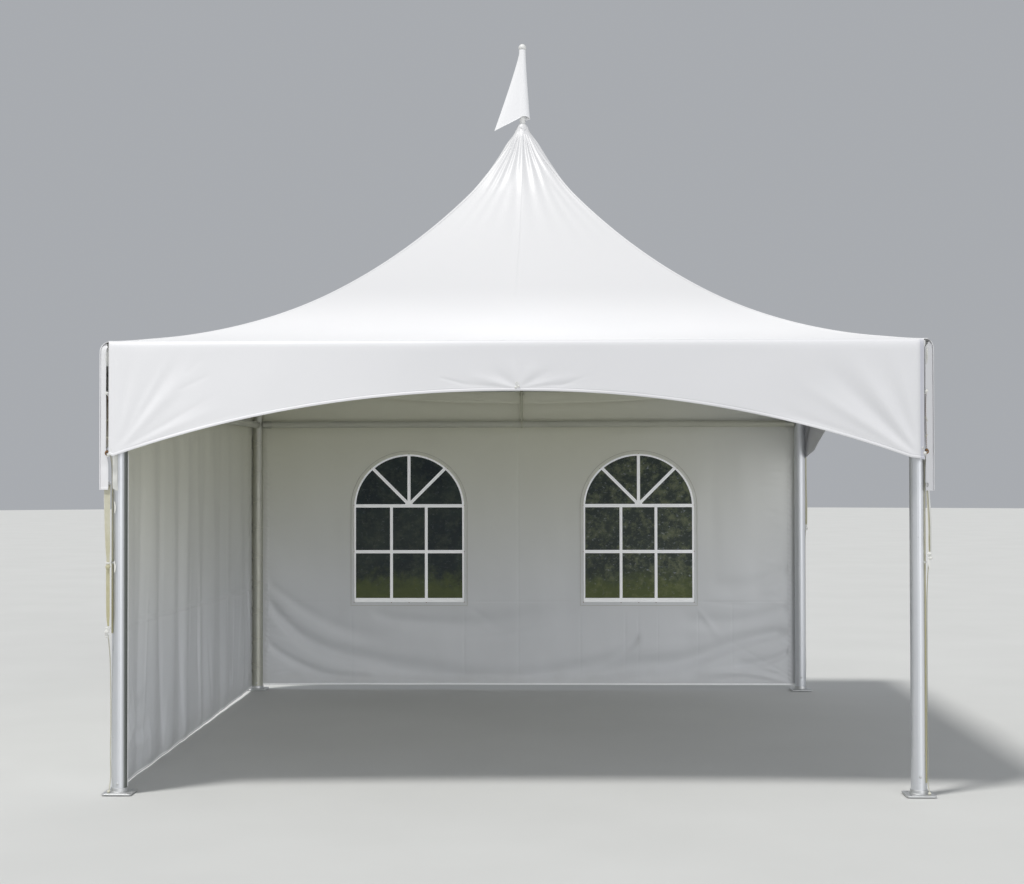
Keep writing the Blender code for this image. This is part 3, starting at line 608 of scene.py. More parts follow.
def roof_bulge(half_width):
    """How far a level line across a panel bows out: nearly round at the peak, nearly straight at the eave."""
    rounding = (math.sqrt(2) - 1) * np.exp(-(half_width - PEAK) / PEAK_ROUNDING)
    return rounding * (1 - PANEL_BULGE) + PANEL_BULGE * (1 - (half_width / EAVE) ** 3)


def panel_points(half_width, across):
    """Points of the front panel where its hip is half_width out, across from -1 to 1."""
    wide = half_width + 0.013 * smoothstep(0.36, 0.18, half_width) * smoothstep(0.0, 0.085, half_width)
    out = wide * (1 + roof_bulge(half_width) * (1 - across ** 2))
    return np.stack(np.broadcast_arrays(wide * across, -out, roof_height(half_width)), axis=-1)


def roof_panel(side, turn):
    """A canopy panel: pleats fan out below the peak, and a lapped seam runs down its middle."""
    rows = PEAK + (EAVE - PEAK) * np.linspace(0, 1, 100)[:, None] ** 1.7
    columns = np.sort(np.concatenate([np.linspace(-1, 1, 71), np.linspace(-0.02, 0.02, 9)]))[None, :]
    face = panel_points(rows, columns)
    normals = -grid_normals(face)
    seed = turn + 3
    fan = np.exp(-((rows - 0.13) / 0.16) ** 2) * smoothstep(PEAK, 0.07, rows)
    pleats = np.cos(math.pi * (7.3 * columns + 0.35 * np.sin(5 * columns + seed)))
    relief = 0.0060 * fan * pleats * (1 - columns ** 4)
    fine = np.exp(-((rows - 0.35) / 0.3) ** 2)
    relief = relief + 0.0013 * fine * np.sin(math.pi * (11.0 * columns + np.sin(3 * columns + seed)))
    seam_x = -0.03 * rows if side == "front" else 0.0
    lap = np.abs(columns * rows - seam_x)
    relief = relief + 0.0012 * (1 - smoothstep(0.010, 0.014, lap))
    hip = 1 - np.abs(columns)
    tight = smoothstep(0.0, 0.1, hip) * smoothstep(EAVE, EAVE - 0.25, rows)
    relief = relief + tight * ripples(columns * rows, rows, seed, 1.3, 0.0022)
    face = face + normals * relief[:, :, None]
    matrix = round_z(turn)
    name = "canopy_" + side
    piece = add_piece(name, [turned(cloth_solid(face[:, ::-1], CANOPY_CLOTH), matrix)],
                      "canopy", ["roof_panel_" + side])


def hip_seams():
    """Lapped and stitched seams over the four hips."""
    rows = PEAK + (EAVE - PEAK) * np.linspace(0.0004, 1, 110)[:, None] ** 1.7
    offsets = np.array([-0.015, -0.0145, -0.012, -0.0085, -0.005, 0,
                        0.005, 0.0085, 0.012, 0.0145, 0.015])
    share = 1 - np.abs(offsets[None, :]) / rows
    near = panel_points(rows, share)
    right = panel_points(rows, -share) @ np.array(round_z(90).to_3x3()).T
    base = np.where((offsets < 0)[None, :, None], near, right)
    lift = np.array([0.0002, 0.0016, 0.0017, 0.0009, 0.0019, 0.0026,
                     0.0019, 0.0009, 0.0017, 0.0016, 0.0002])
    up = -grid_normals(base)
    up = up * np.sign(up[:, :, 2:3])
    face = base + up * lift[None, :, None]
    solid = sheet_solid(face, base + up * 0.0001)
    for corner, turn in (("front_right", 0), ("rear_right", 90), ("rear_left", 180), ("front_left", 270)):
        add_piece("hip_seam_" + corner, [turned(solid, round_z(turn))], "canopy")


# Valances

def arch_height(along):
    """Lower edge of a curtain's scallop, high in the middle and low at the corners."""
    return ARCH_TOP - ARCH_DROP * (np.abs(along) / EAVE) ** ARCH_POWER


def front_creases(t, z):
    """Creases that the cloth's ties pull at its lower corners and at the clip in its middle."""
    relief = np.zeros(np.broadcast(t, z).shape)
    relief = add_creases(relief, t, z, (-2.292, 1.950), (
        ((-1.895, 2.545), 0.026, -0.0040), ((-2.005, 2.520), 0.020, -0.0026),
        ((-1.950, 2.535), 0.018, 0.0030), ((-1.800, 2.490), 0.030, 0.0038),
        ((-1.690, 2.300), 0.011, -0.0018), ((-1.640, 2.240), 0.017, 0.0021),
        ((-1.520, 2.200), 0.009, -0.0010), ((-1.400, 2.190), 0.013, 0.0013),
        ((-2.120, 2.545), 0.018, 0.0018), ((-2.190, 2.545), 0.015, -0.0016),
    ))
    relief = add_creases(relief, t, z, (2.300, 1.900), (
        ((1.700, 2.500), 0.040, -0.0044), ((1.860, 2.540), 0.036, 0.0036),
        ((1.560, 2.380), 0.030, 0.0030), ((2.020, 2.560), 0.030, -0.0024),
        ((1.400, 2.230), 0.018, -0.0015), ((2.140, 2.560), 0.022, 0.0017),
    ))
    relief = add_creases(relief, t, z, (0.014, 2.316), (
        ((-0.160, 2.440), 0.024, -0.0022), ((-0.300, 2.400), 0.020, 0.0020),
        ((-0.420, 2.352), 0.012, -0.0011), ((-0.040, 2.500), 0.022, 0.0017),
        ((0.120, 2.470), 0.024, 0.0022), ((0.230, 2.440), 0.020, -0.0020),
        ((0.360, 2.395), 0.014, 0.0013), ((0.450, 2.355), 0.010, -0.0009),
    ))
    for start, end, width, height in (
        ((-0.430, 2.378), (-0.240, 2.328), 0.008, -0.0012), ((0.235, 2.325), (0.430, 2.395), 0.008, -0.0013),
        ((-1.930, 2.310), (-1.720, 2.410), 0.009, -0.0012), ((-1.880, 2.400), (-1.770, 2.520), 0.012, -0.0013),
    ):
        relief = relief + crease(t, z, start, end, width, height, 0.2)
    return 1.5 * relief


def plain_creases(t, z, seed):
    """Smaller creases for the sides that pull less."""
    random = np.random.default_rng(seed)
    relief = np.zeros(np.broadcast(t, z).shape)
    for sign in (-1, 1):
        for _ in range(6):
            end = (sign * random.uniform(1.4, 2.1), random.uniform(2.2, 2.5))
            size = random.uniform(0.014, 0.026)
            height = random.uniform(-0.0022, 0.0028)
            relief = relief + crease(t, z, (sign * 2.27, 1.94), end, size, height)
    for _ in range(5):
        end = (random.uniform(-0.4, 0.4), random.uniform(2.40, 2.5))
        relief = relief + crease(t, z, (0.0, 2.316), end, 0.018, random.uniform(-0.0016, 0.0020))
    return relief


def valance(side, turn):
    """A scalloped curtain: it folds over the eave, hangs straight and ends in a rolled hem."""
    is_side = side in ("left", "right")
    reach = EAVE + VALANCE_BULGE[side]
    if is_side:
        inside = np.linspace(-SIDE_HALF, SIDE_HALF, 181)
        low_path = np.stack([inside, np.full(len(inside), -reach)], axis=1)
        power = 2.0
    else:
        inside = np.linspace(-2.260, 2.252, 290 if side == "front" else 180)
        left_end = [(-2.3325, 0.021), (-2.3295, 0.016), (-2.322, 0.012), (-2.314, 0.0097),
                    (-2.306, 0.0073), (-2.301, 0.0059), (-2.296, 0.0045), (-2.285, 0.001)]
        right_end = [(2.272, 0.001), (2.282, 0.005), (2.300, 0.014), (2.309, 0.019), (2.3135, 0.024)]
        ends = [np.array([(t, inset - reach) for t, inset in end]) for end in (left_end, right_end)]
        middle = np.column_stack([inside, np.full(len(inside), -reach)])
        low_path = np.concatenate([ends[0], middle, ends[1]])
        power = 3.6
    along = low_path[:, 0]
    top_path = np.stack([along * (EAVE - 0.004) / np.abs(along).max(), np.full(len(along), -EAVE)], axis=1)
    bottoms = arch_height(along)
    if side == "front":
        bottoms = bottoms - 0.042 * (np.maximum(along, 0) / 2.3) ** 1.6
        bottoms = bottoms + 0.018 * smoothstep(-2.300, -2.333, along) + 0.017 * smoothstep(2.22, 2.315, along)
    hem = np.array([0.022, 0.0185, HEM_HEIGHT, 0.0150, 0.012, 0.008, 0.004, 0.0015, 0.0])
    hem_lift = np.array([0, 0, -0.0008, 0.0006, 0.0016, 0.0020, 0.0015, 0.0008, 0.0])
    turns = np.linspace(0, math.pi / 2, 12)
    top = EAVE_HEIGHT - CANOPY_CLOTH - 0.0002
    rows = []
    lifts = []
    inner_edge = top_path * np.array([1, (EAVE - 0.012) / EAVE])
    rows.append(np.column_stack([inner_edge, np.full(len(along), top)]))
    lifts.append(np.zeros(len(along)))
    for angle in turns:
        out = math.sin(angle) ** (2 / power)
        depth = BULGE_DEPTH * (1 - math.cos(angle) ** (2 / power))
        edge = top_path * (1 - out) + low_path * out
        rows.append(np.column_stack([edge, np.full(len(along), top - depth)]))
        lifts.append(np.zeros(len(along)))
    for share in np.linspace(0, 1, 46)[1:]:
        heights = (top - BULGE_DEPTH) * (1 - share) + (bottoms + hem[0]) * share
        rows.append(np.column_stack([low_path, heights]))
        lifts.append(np.zeros(len(along)))
    for up, lift in zip(hem[1:], hem_lift[1:]):
        rows.append(np.column_stack([low_path, bottoms + up]))
        lifts.append(np.full(len(along), lift))
    face = np.array(rows)
    t, z = face[:, :, 0], face[:, :, 2]
    relief = front_creases(t, z) if side == "front" else plain_creases(t, z, turn + 11)
    relief = relief + ripples(t, z, turn + 5, 0.9, 0.0016) + ripples(t, z, turn + 6, 0.35, 0.0005)
    seam = 0.022 if side == "front" else 0.0
    relief = relief + 0.0010 * (1 - smoothstep(0.009, 0.013, np.abs(t - seam)))
    relief = relief + 0.0014 * smoothstep(-2.299, -2.307, t)
    hang = smoothstep(0, 0.06, EAVE_HEIGHT - z) * smoothstep(-0.004, 0.03, z - bottoms[None, :])
    hang = hang * smoothstep(0, 0.05, 2.345 - np.abs(t))
    if side == "right":
        face[:, :, 1] += 0.040 * smoothstep(2.05, 2.28, t) * smoothstep(2.30, 2.0, z)
    normals = curtain_normals(face)
    face = face + normals * (relief * hang + np.array(lifts))[:, :, None]
    matrix = round_z(turn)
    solids = [sheet_solid(face, face - normals * CURTAIN_CLOTH)]
    if is_side:
        for end in (-1, 1):
            short = side == "right" and end > 0
            low = SHORT_TAIL_BOTTOM if short else TAIL_BOTTOM - 0.012 * (reach < WIDE_REACH)
            solids += corner_tail(reach, end, turn + end, low, SHORT_TAIL_DRAWN_IN if short else 0.0)
    piece = add_piece("valance_cloth_" + side, [turned(solid, matrix) for solid in solids],
                      "valance", ["valance_" + side])


def corner_tail(reach, end, seed, low, drawn_in):
    """Strip that turns in behind the front and hangs lower. It curves in over the shoulder of the eave."""
    wide_kind = reach > WIDE_REACH
    inset = 0.045 if wide_kind else 0.056
    plan = [(2.268, 0.0019), (2.290, 0.0019), (2.298, 0.004), (2.306, 0.24 * inset), (2.318, 0.52 * inset),
            (2.330, 0.78 * inset), (2.338, 0.93 * inset), (2.343, inset)]
    along = end * np.array(plan)[:, 0]
    setback = np.array(plan)[:, 1]
    top = EAVE_HEIGHT - BULGE_DEPTH
    hem = np.array([0.0, 0.0012, 0.0035, 0.0065, 0.010, 0.013, 0.0145])
    heights = np.concatenate([low + hem, np.linspace(low + 0.02, top, 40)])[::-1]
    turns = np.linspace(0.42, math.pi / 2, 10)[:-1, None]
    rise = BULGE_DEPTH * np.clip(1 - setback / 0.085, 0, 1)
    over = [-(EAVE + (reach - EAVE - setback) * np.sin(turns)), top + rise * np.cos(turns)]
    down = np.broadcast_arrays(setback - reach, heights[:, None])
    rows = [np.concatenate([a, b]) for a, b in zip(over, down)]
    face = np.stack([np.broadcast_to(along, rows[0].shape), *rows], axis=2)
    z = face[:, :, 2]
    face[:, :, 1] += drawn_in * smoothstep(2.30, 2.0, z)
    normals = curtain_normals(face)
    if wide_kind:
        share = np.linspace(0, 1, len(plan))[None, :]
        face[:, :, 1] += 0.015 * smoothstep(1.99, 1.87, z) * smoothstep(0.3, 1.0, share)
        relief = crease(face[:, :, 1], z, (-reach + 0.05, 1.90), (-reach + 0.012, 1.86), 0.012, -0.006)
    else:
        relief = 0.0
    relief = relief + ripples(z, along * 4, seed + 40, 0.5, 0.0016) * smoothstep(2.29, 2.31, np.abs(along))
    swell = ((z < low + 0.014) & (z > low + 0.0005)) * 0.0013
    face = face + normals * (relief + swell)[:, :, None]
    strip = sheet_solid(face, face - normals * CURTAIN_CLOTH)
    free_hem = sweep_solid(face[9:, -1], 0.0026, 0.0016, across=(1, 0, 0), sides=8)
    turns = np.linspace(0.15, math.pi / 2, 12)
    over = [(along[2], -(EAVE + (reach - EAVE) * math.sin(turn)),
             EAVE_HEIGHT - BULGE_DEPTH * (1 - math.cos(turn))) for turn in turns]
    over = np.array(over + [(along[2], -reach - 0.0005 + drawn_in * smoothstep(2.30, 2.0, h), h)
                            for h in np.linspace(2.50, low, 30)])
    shoulder = sweep_solid(over, 0.0042, 0.0030, across=(1, 0, 0), sides=10)
    return [strip, free_hem, shoulder]


def inner_flap(side, turn):
    """Short flap behind the eave beam, drawn up in shallow creases towards its middle."""
    half = 2.2315
    t = np.linspace(-half, half, 121)[None, :]
    drop = 0.129 - 0.164 * (t / half) ** 2
    low = BEAM_HEIGHT - np.maximum(drop, 0)
    shares = np.concatenate([np.linspace(0, 0.86, 10), [0.9, 0.93, 0.96, 0.98, 1.0]])[:, None]
    z = (BEAM_HEIGHT + BEAM_RADIUS) * (1 - shares) + low * shares
    plane = np.broadcast_to(-(HALF + BEAM_RADIUS + 0.0033), z.shape)
    relief = ripples(t, z, turn + 21, 0.5, 0.0010)
    relief = add_creases(relief, t, z, (0.05, 2.40), (
        ((-0.9, 2.50), 0.010, 0.004), ((0.8, 2.50), 0.010, -0.004),
        ((-0.45, 2.47), 0.010, -0.003), ((0.5, 2.49), 0.010, 0.003),
    ))
    relief = np.minimum(relief, 0.002) - 0.0018 * (shares > 0.9)
    face = np.stack([np.broadcast_to(t, z.shape), plane + np.minimum(relief, 0), z], axis=2)
    back = face + np.array([0, CURTAIN_CLOTH, 0])
    piece = add_piece("flap_cloth_" + side, [turned(sheet_solid(face, back), round_z(turn))],
                      "wall", ["inner_flap_" + side])


# Walls and windows

def window_outline(centre, margin=0.0, steps=40):
    """Points of an arched opening, from the sill's left end round to its right end."""
    half = WINDOW_HALF + margin
    rise = ARCH_RISE + margin
    angles = np.linspace(math.pi, 0, steps + 1)
    arch = [(centre + half * math.cos(a), SPRING + rise * math.sin(a)) for a in angles]
    return [(centre - half, SILL - margin)] + arch + [(centre + half, SILL - margin)]


def slab_solid(outline, near, far):
    """A flat plate with an outline of (x, z) points, between two distances to the rear."""
    count = len(outline)
    points = [(x, near, z) for x, z in outline] + [(x, far, z) for x, z in outline]
    faces = [list(range(count)), list(range(2 * count - 1, count - 1, -1))]
    faces += [[i, (i + 1) % count, (i + 1) % count + count, i + count] for i in range(count)]
    return np.array(points), faces


def window_calm(x, z):
    """Falls to 0 round the windows, where welded frames keep the cloth flat."""
    calm = np.ones(np.broadcast(x, z).shape)
    for centre in WINDOWS.values():
        beside = np.maximum(np.abs(x - centre) - WINDOW_HALF, 0)
        above = np.maximum(z - (SPRING + ARCH_RISE), 0) + np.maximum(SILL - z, 0)
        calm = calm * smoothstep(0.02, 0.20, np.hypot(beside, above))
    return calm


def with_seams(spots, lines, near=0.0095, far=0.0125):
    """Adds the positions where a lapped seam starts and stops to a row of positions."""
    extra = [line + side for line in lines for side in (-far, -near, near, far)]
    kept = [spot for spot in spots if min(abs(spot - line) for line in lines) > far + 0.002]
    return np.array(sorted(kept + extra))


def lap(position, line, near=0.0095, far=0.0125):
    """1 on a lapped seam and 0 beside it."""
    return 1 - smoothstep(near, far, np.abs(position - line))


def back_wall():
    """The wall hangs from its rail and sags in long swags between its laced edges."""
    fine_folds = (-1.496, -0.540, -0.080, 0.443, 0.821, 0.930, 1.096, 1.435, 1.723)
    spots = np.concatenate([np.linspace(-BACK_HALF, 1.25, 150), np.linspace(1.262, BACK_HALF, 86)])
    x = with_seams(spots, fine_folds, 0.003, 0.008)[None, :]
    hem = [0.0, 0.0015, 0.005, 0.011, 0.017, 0.0195, 0.022, 0.030]
    heights = np.concatenate([BACK_BOTTOM + np.array(hem), np.linspace(0.075, 0.72, 56),
                              np.linspace(0.752, WALL_TOP, 84)])
    z = with_seams(heights, (BELT,), 0.004, 0.008)[:, None]
    relief = np.zeros((z.shape[0], x.shape[1]))
    for path, width, height in (
        ([(0.10, 0.050), (0.389, 0.075), (0.536, 0.112), (0.782, 0.170), (0.994, 0.200), (1.221, 0.218),
          (1.448, 0.275), (1.647, 0.350), (1.901, 0.430), (2.195, 0.490)], 0.055, 0.027),
        ([(-0.30, 0.075), (-0.065, 0.085), (0.240, 0.140), (0.689, 0.250), (0.950, 0.430)], 0.050, 0.017),
        ([(1.700, 0.190), (1.950, 0.220), (2.100, 0.265), (2.195, 0.320)], 0.030, 0.012),
        ([(1.400, 0.110), (1.720, 0.140), (1.950, 0.115), (2.200, 0.050)], 0.022, -0.008),
        ([(1.250, 0.620), (1.500, 0.560), (1.850, 0.590), (2.195, 0.690)], 0.045, 0.010),
        ([(0.10, 0.085), (-0.372, 0.075), (-0.664, 0.095), (-0.883, 0.138), (-1.131, 0.180), (-1.393, 0.252),
          (-1.642, 0.310), (-1.905, 0.430), (-2.100, 0.610), (-2.215, 0.740)], 0.062, 0.029),
        ([(-1.00, 0.050), (-1.248, 0.055), (-1.569, 0.085), (-1.788, 0.142), (-2.006, 0.245), (-2.182, 0.362),
          (-2.215, 0.400)], 0.036, 0.016),
        ([(0.40, 0.700), (0.0, 0.600), (-0.30, 0.545), (-0.70, 0.545), (-1.10, 0.600), (-1.35, 0.670)],
         0.060, 0.015),
        ([(-1.10, 0.400), (-1.50, 0.480), (-1.85, 0.640), (-2.215, 0.900)], 0.050, 0.010),
        ([(1.45, 0.900), (1.70, 0.860), (1.95, 0.900), (2.195, 1.020)], 0.050, 0.008),
    ):
        relief += swag(x, z, path, width, height)
    for pull, end, width, height in (
        ((2.200, 0.110), (1.630, 0.440), 0.0085, 0.0040), ((2.200, 0.100), (1.720, 0.300), 0.014, -0.0035),
        ((1.386, 0.735), (1.660, 0.380), 0.026, -0.0060), ((1.386, 0.740), (1.950, 0.700), 0.020, 0.0040),
        ((0.484, 0.735), (0.100, 0.420), 0.030, 0.0050), ((-0.556, 0.735), (-0.180, 0.460), 0.030, 0.0050),
        ((-1.458, 0.735), (-1.820, 0.460), 0.030, 0.0050), ((0.930, 0.300), (1.150, 0.330), 0.012, 0.0020),
        ((1.386, 1.980), (1.900, 2.180), 0.030, 0.0050), ((-0.540, 1.900), (-0.150, 2.160), 0.035, 0.0050),
        ((-1.460, 1.900), (-1.900, 2.160), 0.032, 0.0050), ((0.480, 1.900), (0.120, 2.160), 0.032, -0.0040),
        ((-0.050, 2.262), (-0.450, 2.400), 0.010, 0.0035), ((-0.050, 2.262), (0.330, 2.370), 0.010, 0.0030),
        ((-0.050, 2.205), (-0.300, 2.080), 0.012, 0.0022), ((-0.050, 2.205), (0.160, 2.060), 0.012, 0.0020),
        ((0.821, 0.055), (0.900, 0.090), 0.006, 0.0022), ((0.930, 0.055), (0.870, 0.110), 0.006, 0.0022),
        ((0.443, 0.055), (0.360, 0.095), 0.006, 0.0020), ((-0.080, 0.055), (-0.170, 0.090), 0.006, 0.0020),
    ):
        relief += crease(x, z, pull, end, width, height)
    random = np.random.default_rng(41)
    for edge in LACED_EDGES:
        inward = -math.copysign(1, edge)
        for pull in np.arange(0.12, 2.3, 0.083):
            end = (edge + inward * random.uniform(0.06, 0.30), pull + random.uniform(-0.10, 0.10))
            width, height = random.uniform(0.009, 0.017), random.uniform(-0.0042, 0.0042)
            relief += crease(x, z, (edge, pull), end, width, height)
    calm = window_calm(x, z)
    relief = relief * calm * smoothstep(WALL_TOP, 2.35, z)
    slow = ripples(x, z, 31, 0.8, 0.0035) + ripples(x * 3.0, z, 33, 0.9, 0.0014)
    slow = slow + ripples(x, z, 34, 0.16, 0.0003)
    relief += (slow + 0.0022) * (0.05 + 0.95 * calm) * smoothstep(2.485, 2.25, z)
    for line in fine_folds:
        tall = line == -0.080
        relief += 0.0011 * lap(x, line, 0.001, 0.008) * ((z < 2.46) if tall else (z < 0.72)) * calm
    relief += 0.0008 * lap(z, BELT, 0.003, 0.008) * calm
    relief = relief * smoothstep(0, 0.02, BACK_HALF - np.abs(x))
    free = smoothstep(2.21, 2.10, np.abs(x)) * smoothstep(2.20, 2.05, z)
    outward = np.maximum(0.060 * np.tanh(relief / 0.060), -0.025 * free) + 0.0008
    rise = smoothstep(BACK_BOTTOM + 0.012, BACK_BOTTOM + 0.09, z)
    roll = ((z > BACK_BOTTOM + 0.001) & (z < BACK_BOTTOM + 0.0185)) * 0.0016
    outward = outward * (0.25 + 0.75 * rise) + roll
    face = np.stack(np.broadcast_arrays(x, WALL_INNER + outward, z), axis=2)
    solid = sheet_solid(face, face + np.array([0, WALL_CLOTH, 0]))
    piece = add_piece("back_wall_cloth", [solid], "wall", ["back_wall"])
    cut(piece, [slab_solid(window_outline(centre), WALL_INNER - 0.05, WALL_INNER + 0.05)
                for centre in WINDOWS.values()])
    line = np.linspace(-BACK_HALF + 0.004, BACK_HALF - 0.004, 160)
    place = np.interp(line, x[0], outward[3])
    cord = np.column_stack([line, WALL_INNER + place - 0.0008, np.full(160, BACK_BOTTOM + 0.006)])
    add_piece("back_wall_hem", [sweep_solid(cord, 0.0070, 0.0022)], "hem")
    hems = [side_hem(-2.216, x[0], z[:, 0], outward), side_hem(2.206, x[0], z[:, 0], outward)]
    add_piece("back_wall_side_hems", hems, "wall")


def side_hem(middle, x, z, outward):
    """Stitched band down an edge of the back wall, puckered by its thread."""
    up = np.linspace(BACK_BOTTOM + 0.022, 2.190, 250)[:, None]
    share = np.linspace(-1, 1, 9)[None, :]
    across = middle + 0.020 * share
    column = np.array([outward[:, np.argmin(np.abs(x - spot))] for spot in across[0]]).T
    base = np.stack([np.interp(up[:, 0], z, column[:, i]) for i in range(9)], axis=1)
    wave = np.sin(2 * math.pi * up / 0.041 + 2.5 * np.sin(6 * up) + 1.2 * share)
    proud = 0.0008 + (0.0014 + 0.0014 * wave) * np.cos(0.5 * math.pi * share) ** 0.7
    face = np.stack(np.broadcast_arrays(across, WALL_INNER + base - proud, up), axis=2)
    return sheet_solid(face, face + np.array([0, 0.0005, 0]))


def flat_bar(start, end, half, near, far):
    """A straight flat bar between two (x, z) points."""
    path = np.linspace(start, end, 6)
    direction = np.array(end) - np.array(start)
    across = (-direction[1], 0, direction[0])
    points = np.array([(x, (near + far) / 2, z) for x, z in path])
    return sweep_solid(points, half, (far - near) / 2, across=across, sides=12, power=6.0)


def window_bars(centre, near, far, proud):
    """Glazing bars: arched frame, transom, middle bar, two uprights, three spokes and their hub."""
    y = (near + far) / 2
    points = np.array([(x, y, z) for x, z in window_outline(centre, 0.007)])
    middle = np.array([centre, y, WINDOW_MIDDLE])
    solids = [sweep_solid(points, 0.0072, (far - near) / 2, across=points - middle, sides=12, power=5.0,
                          closed=True)]
    lift = proud * 0.0003
    for half, z in ((0.0140, TRANSOM), (0.0135, MIDDLE_BAR), (0.0110, SILL + 0.010)):
        solids.append(flat_bar((centre - WINDOW_HALF, z), (centre + WINDOW_HALF, z), half, near, far))
    for away in UPRIGHTS:
        x = centre + away
        solids.append(flat_bar((x, SILL), (x, TRANSOM - 0.002), 0.0120, near + lift, far + lift))
    hub = (centre, HUB_HEIGHT)
    groove = -0.0012 * proud
    for angle in SPOKES:
        reach = 0.441 if angle != 90 else 0.428
        cosine, sine = math.cos(math.radians(angle)), math.sin(math.radians(angle))
        end = (hub[0] + reach * cosine, hub[1] - 0.012 + reach * sine)
        solids.append(flat_bar(hub, end, 0.0105, near + max(groove, 0), far + min(groove, 0)))
        beside = np.array((sine, -cosine)) * 0.0077
        for sign in (-1, 1):
            rib = [np.array(spot) + sign * beside for spot in (hub, end)]
            solids.append(flat_bar(*rib, 0.0052, near + 2 * lift, far + 2 * lift))
    fan = [(hub[0] + 0.034 * math.cos(turn), hub[1] - 0.006 + 0.034 * math.sin(turn))
           for turn in np.linspace(0, math.pi, 13)]
    solids.append(slab_solid(fan, near + 3 * lift, far + 3 * lift))
    return solids


def window_pins(side, centre):
    """Small rivets at the corners of the frame and at the ends of its bars."""
    spots = [(centre + sign * (WINDOW_HALF + 0.016), z) for sign in (-1, 1)
             for z in (SILL - 0.014, MIDDLE_BAR, TRANSOM + 0.004)]
    spots += [(centre + away, SILL - 0.016) for away in (UPRIGHTS[0], 0, UPRIGHTS[1])]
    spots += [(centre + 0.468 * math.cos(turn), SPRING + 0.447 * math.sin(turn)) for turn in np.radians(SPOKES)]
    outline = [(0, 0.0016), (0.0022, 0.0014), (0.0034, 0.0006), (0.0034, -0.001), (0, -0.001)]
    head = turned_solid(outline, 10)
    pins = [turned(head, aimed((0, -1, 0), (x, WALL_INNER - 0.0004, z))) for x, z in spots]
    add_piece("window_pins_" + side, pins, "bronze")


def windows():
    """Both windows: film, bars on both of its faces, rivets and the weld round the opening."""
    for side, centre in WINDOWS.items():
        window_pins(side, centre)
        pane = slab_solid(window_outline(centre, 0.015), PANE_NEAR, PANE_FAR)
        add_piece("window_film_" + side, [pane], "film", ["window_pane_" + side])
        solids = window_bars(centre, WALL_INNER - 0.0030, PANE_NEAR - 0.0002, -1)
        solids += window_bars(centre, PANE_FAR + 0.0002, PANE_FAR + 0.0028, 1)
        add_piece("window_bars_" + side, solids, "bar")
        points = np.array([(x, WALL_INNER - 0.0006, z) for x, z in window_outline(centre, 0.042)])
        middle = np.array([centre, WALL_INNER, WINDOW_MIDDLE])
        weld = sweep_solid(points, 0.0019, 0.0013, across=points - middle, sides=8, closed=True)
        add_piece("window_weld_" + side, [weld], "seam")


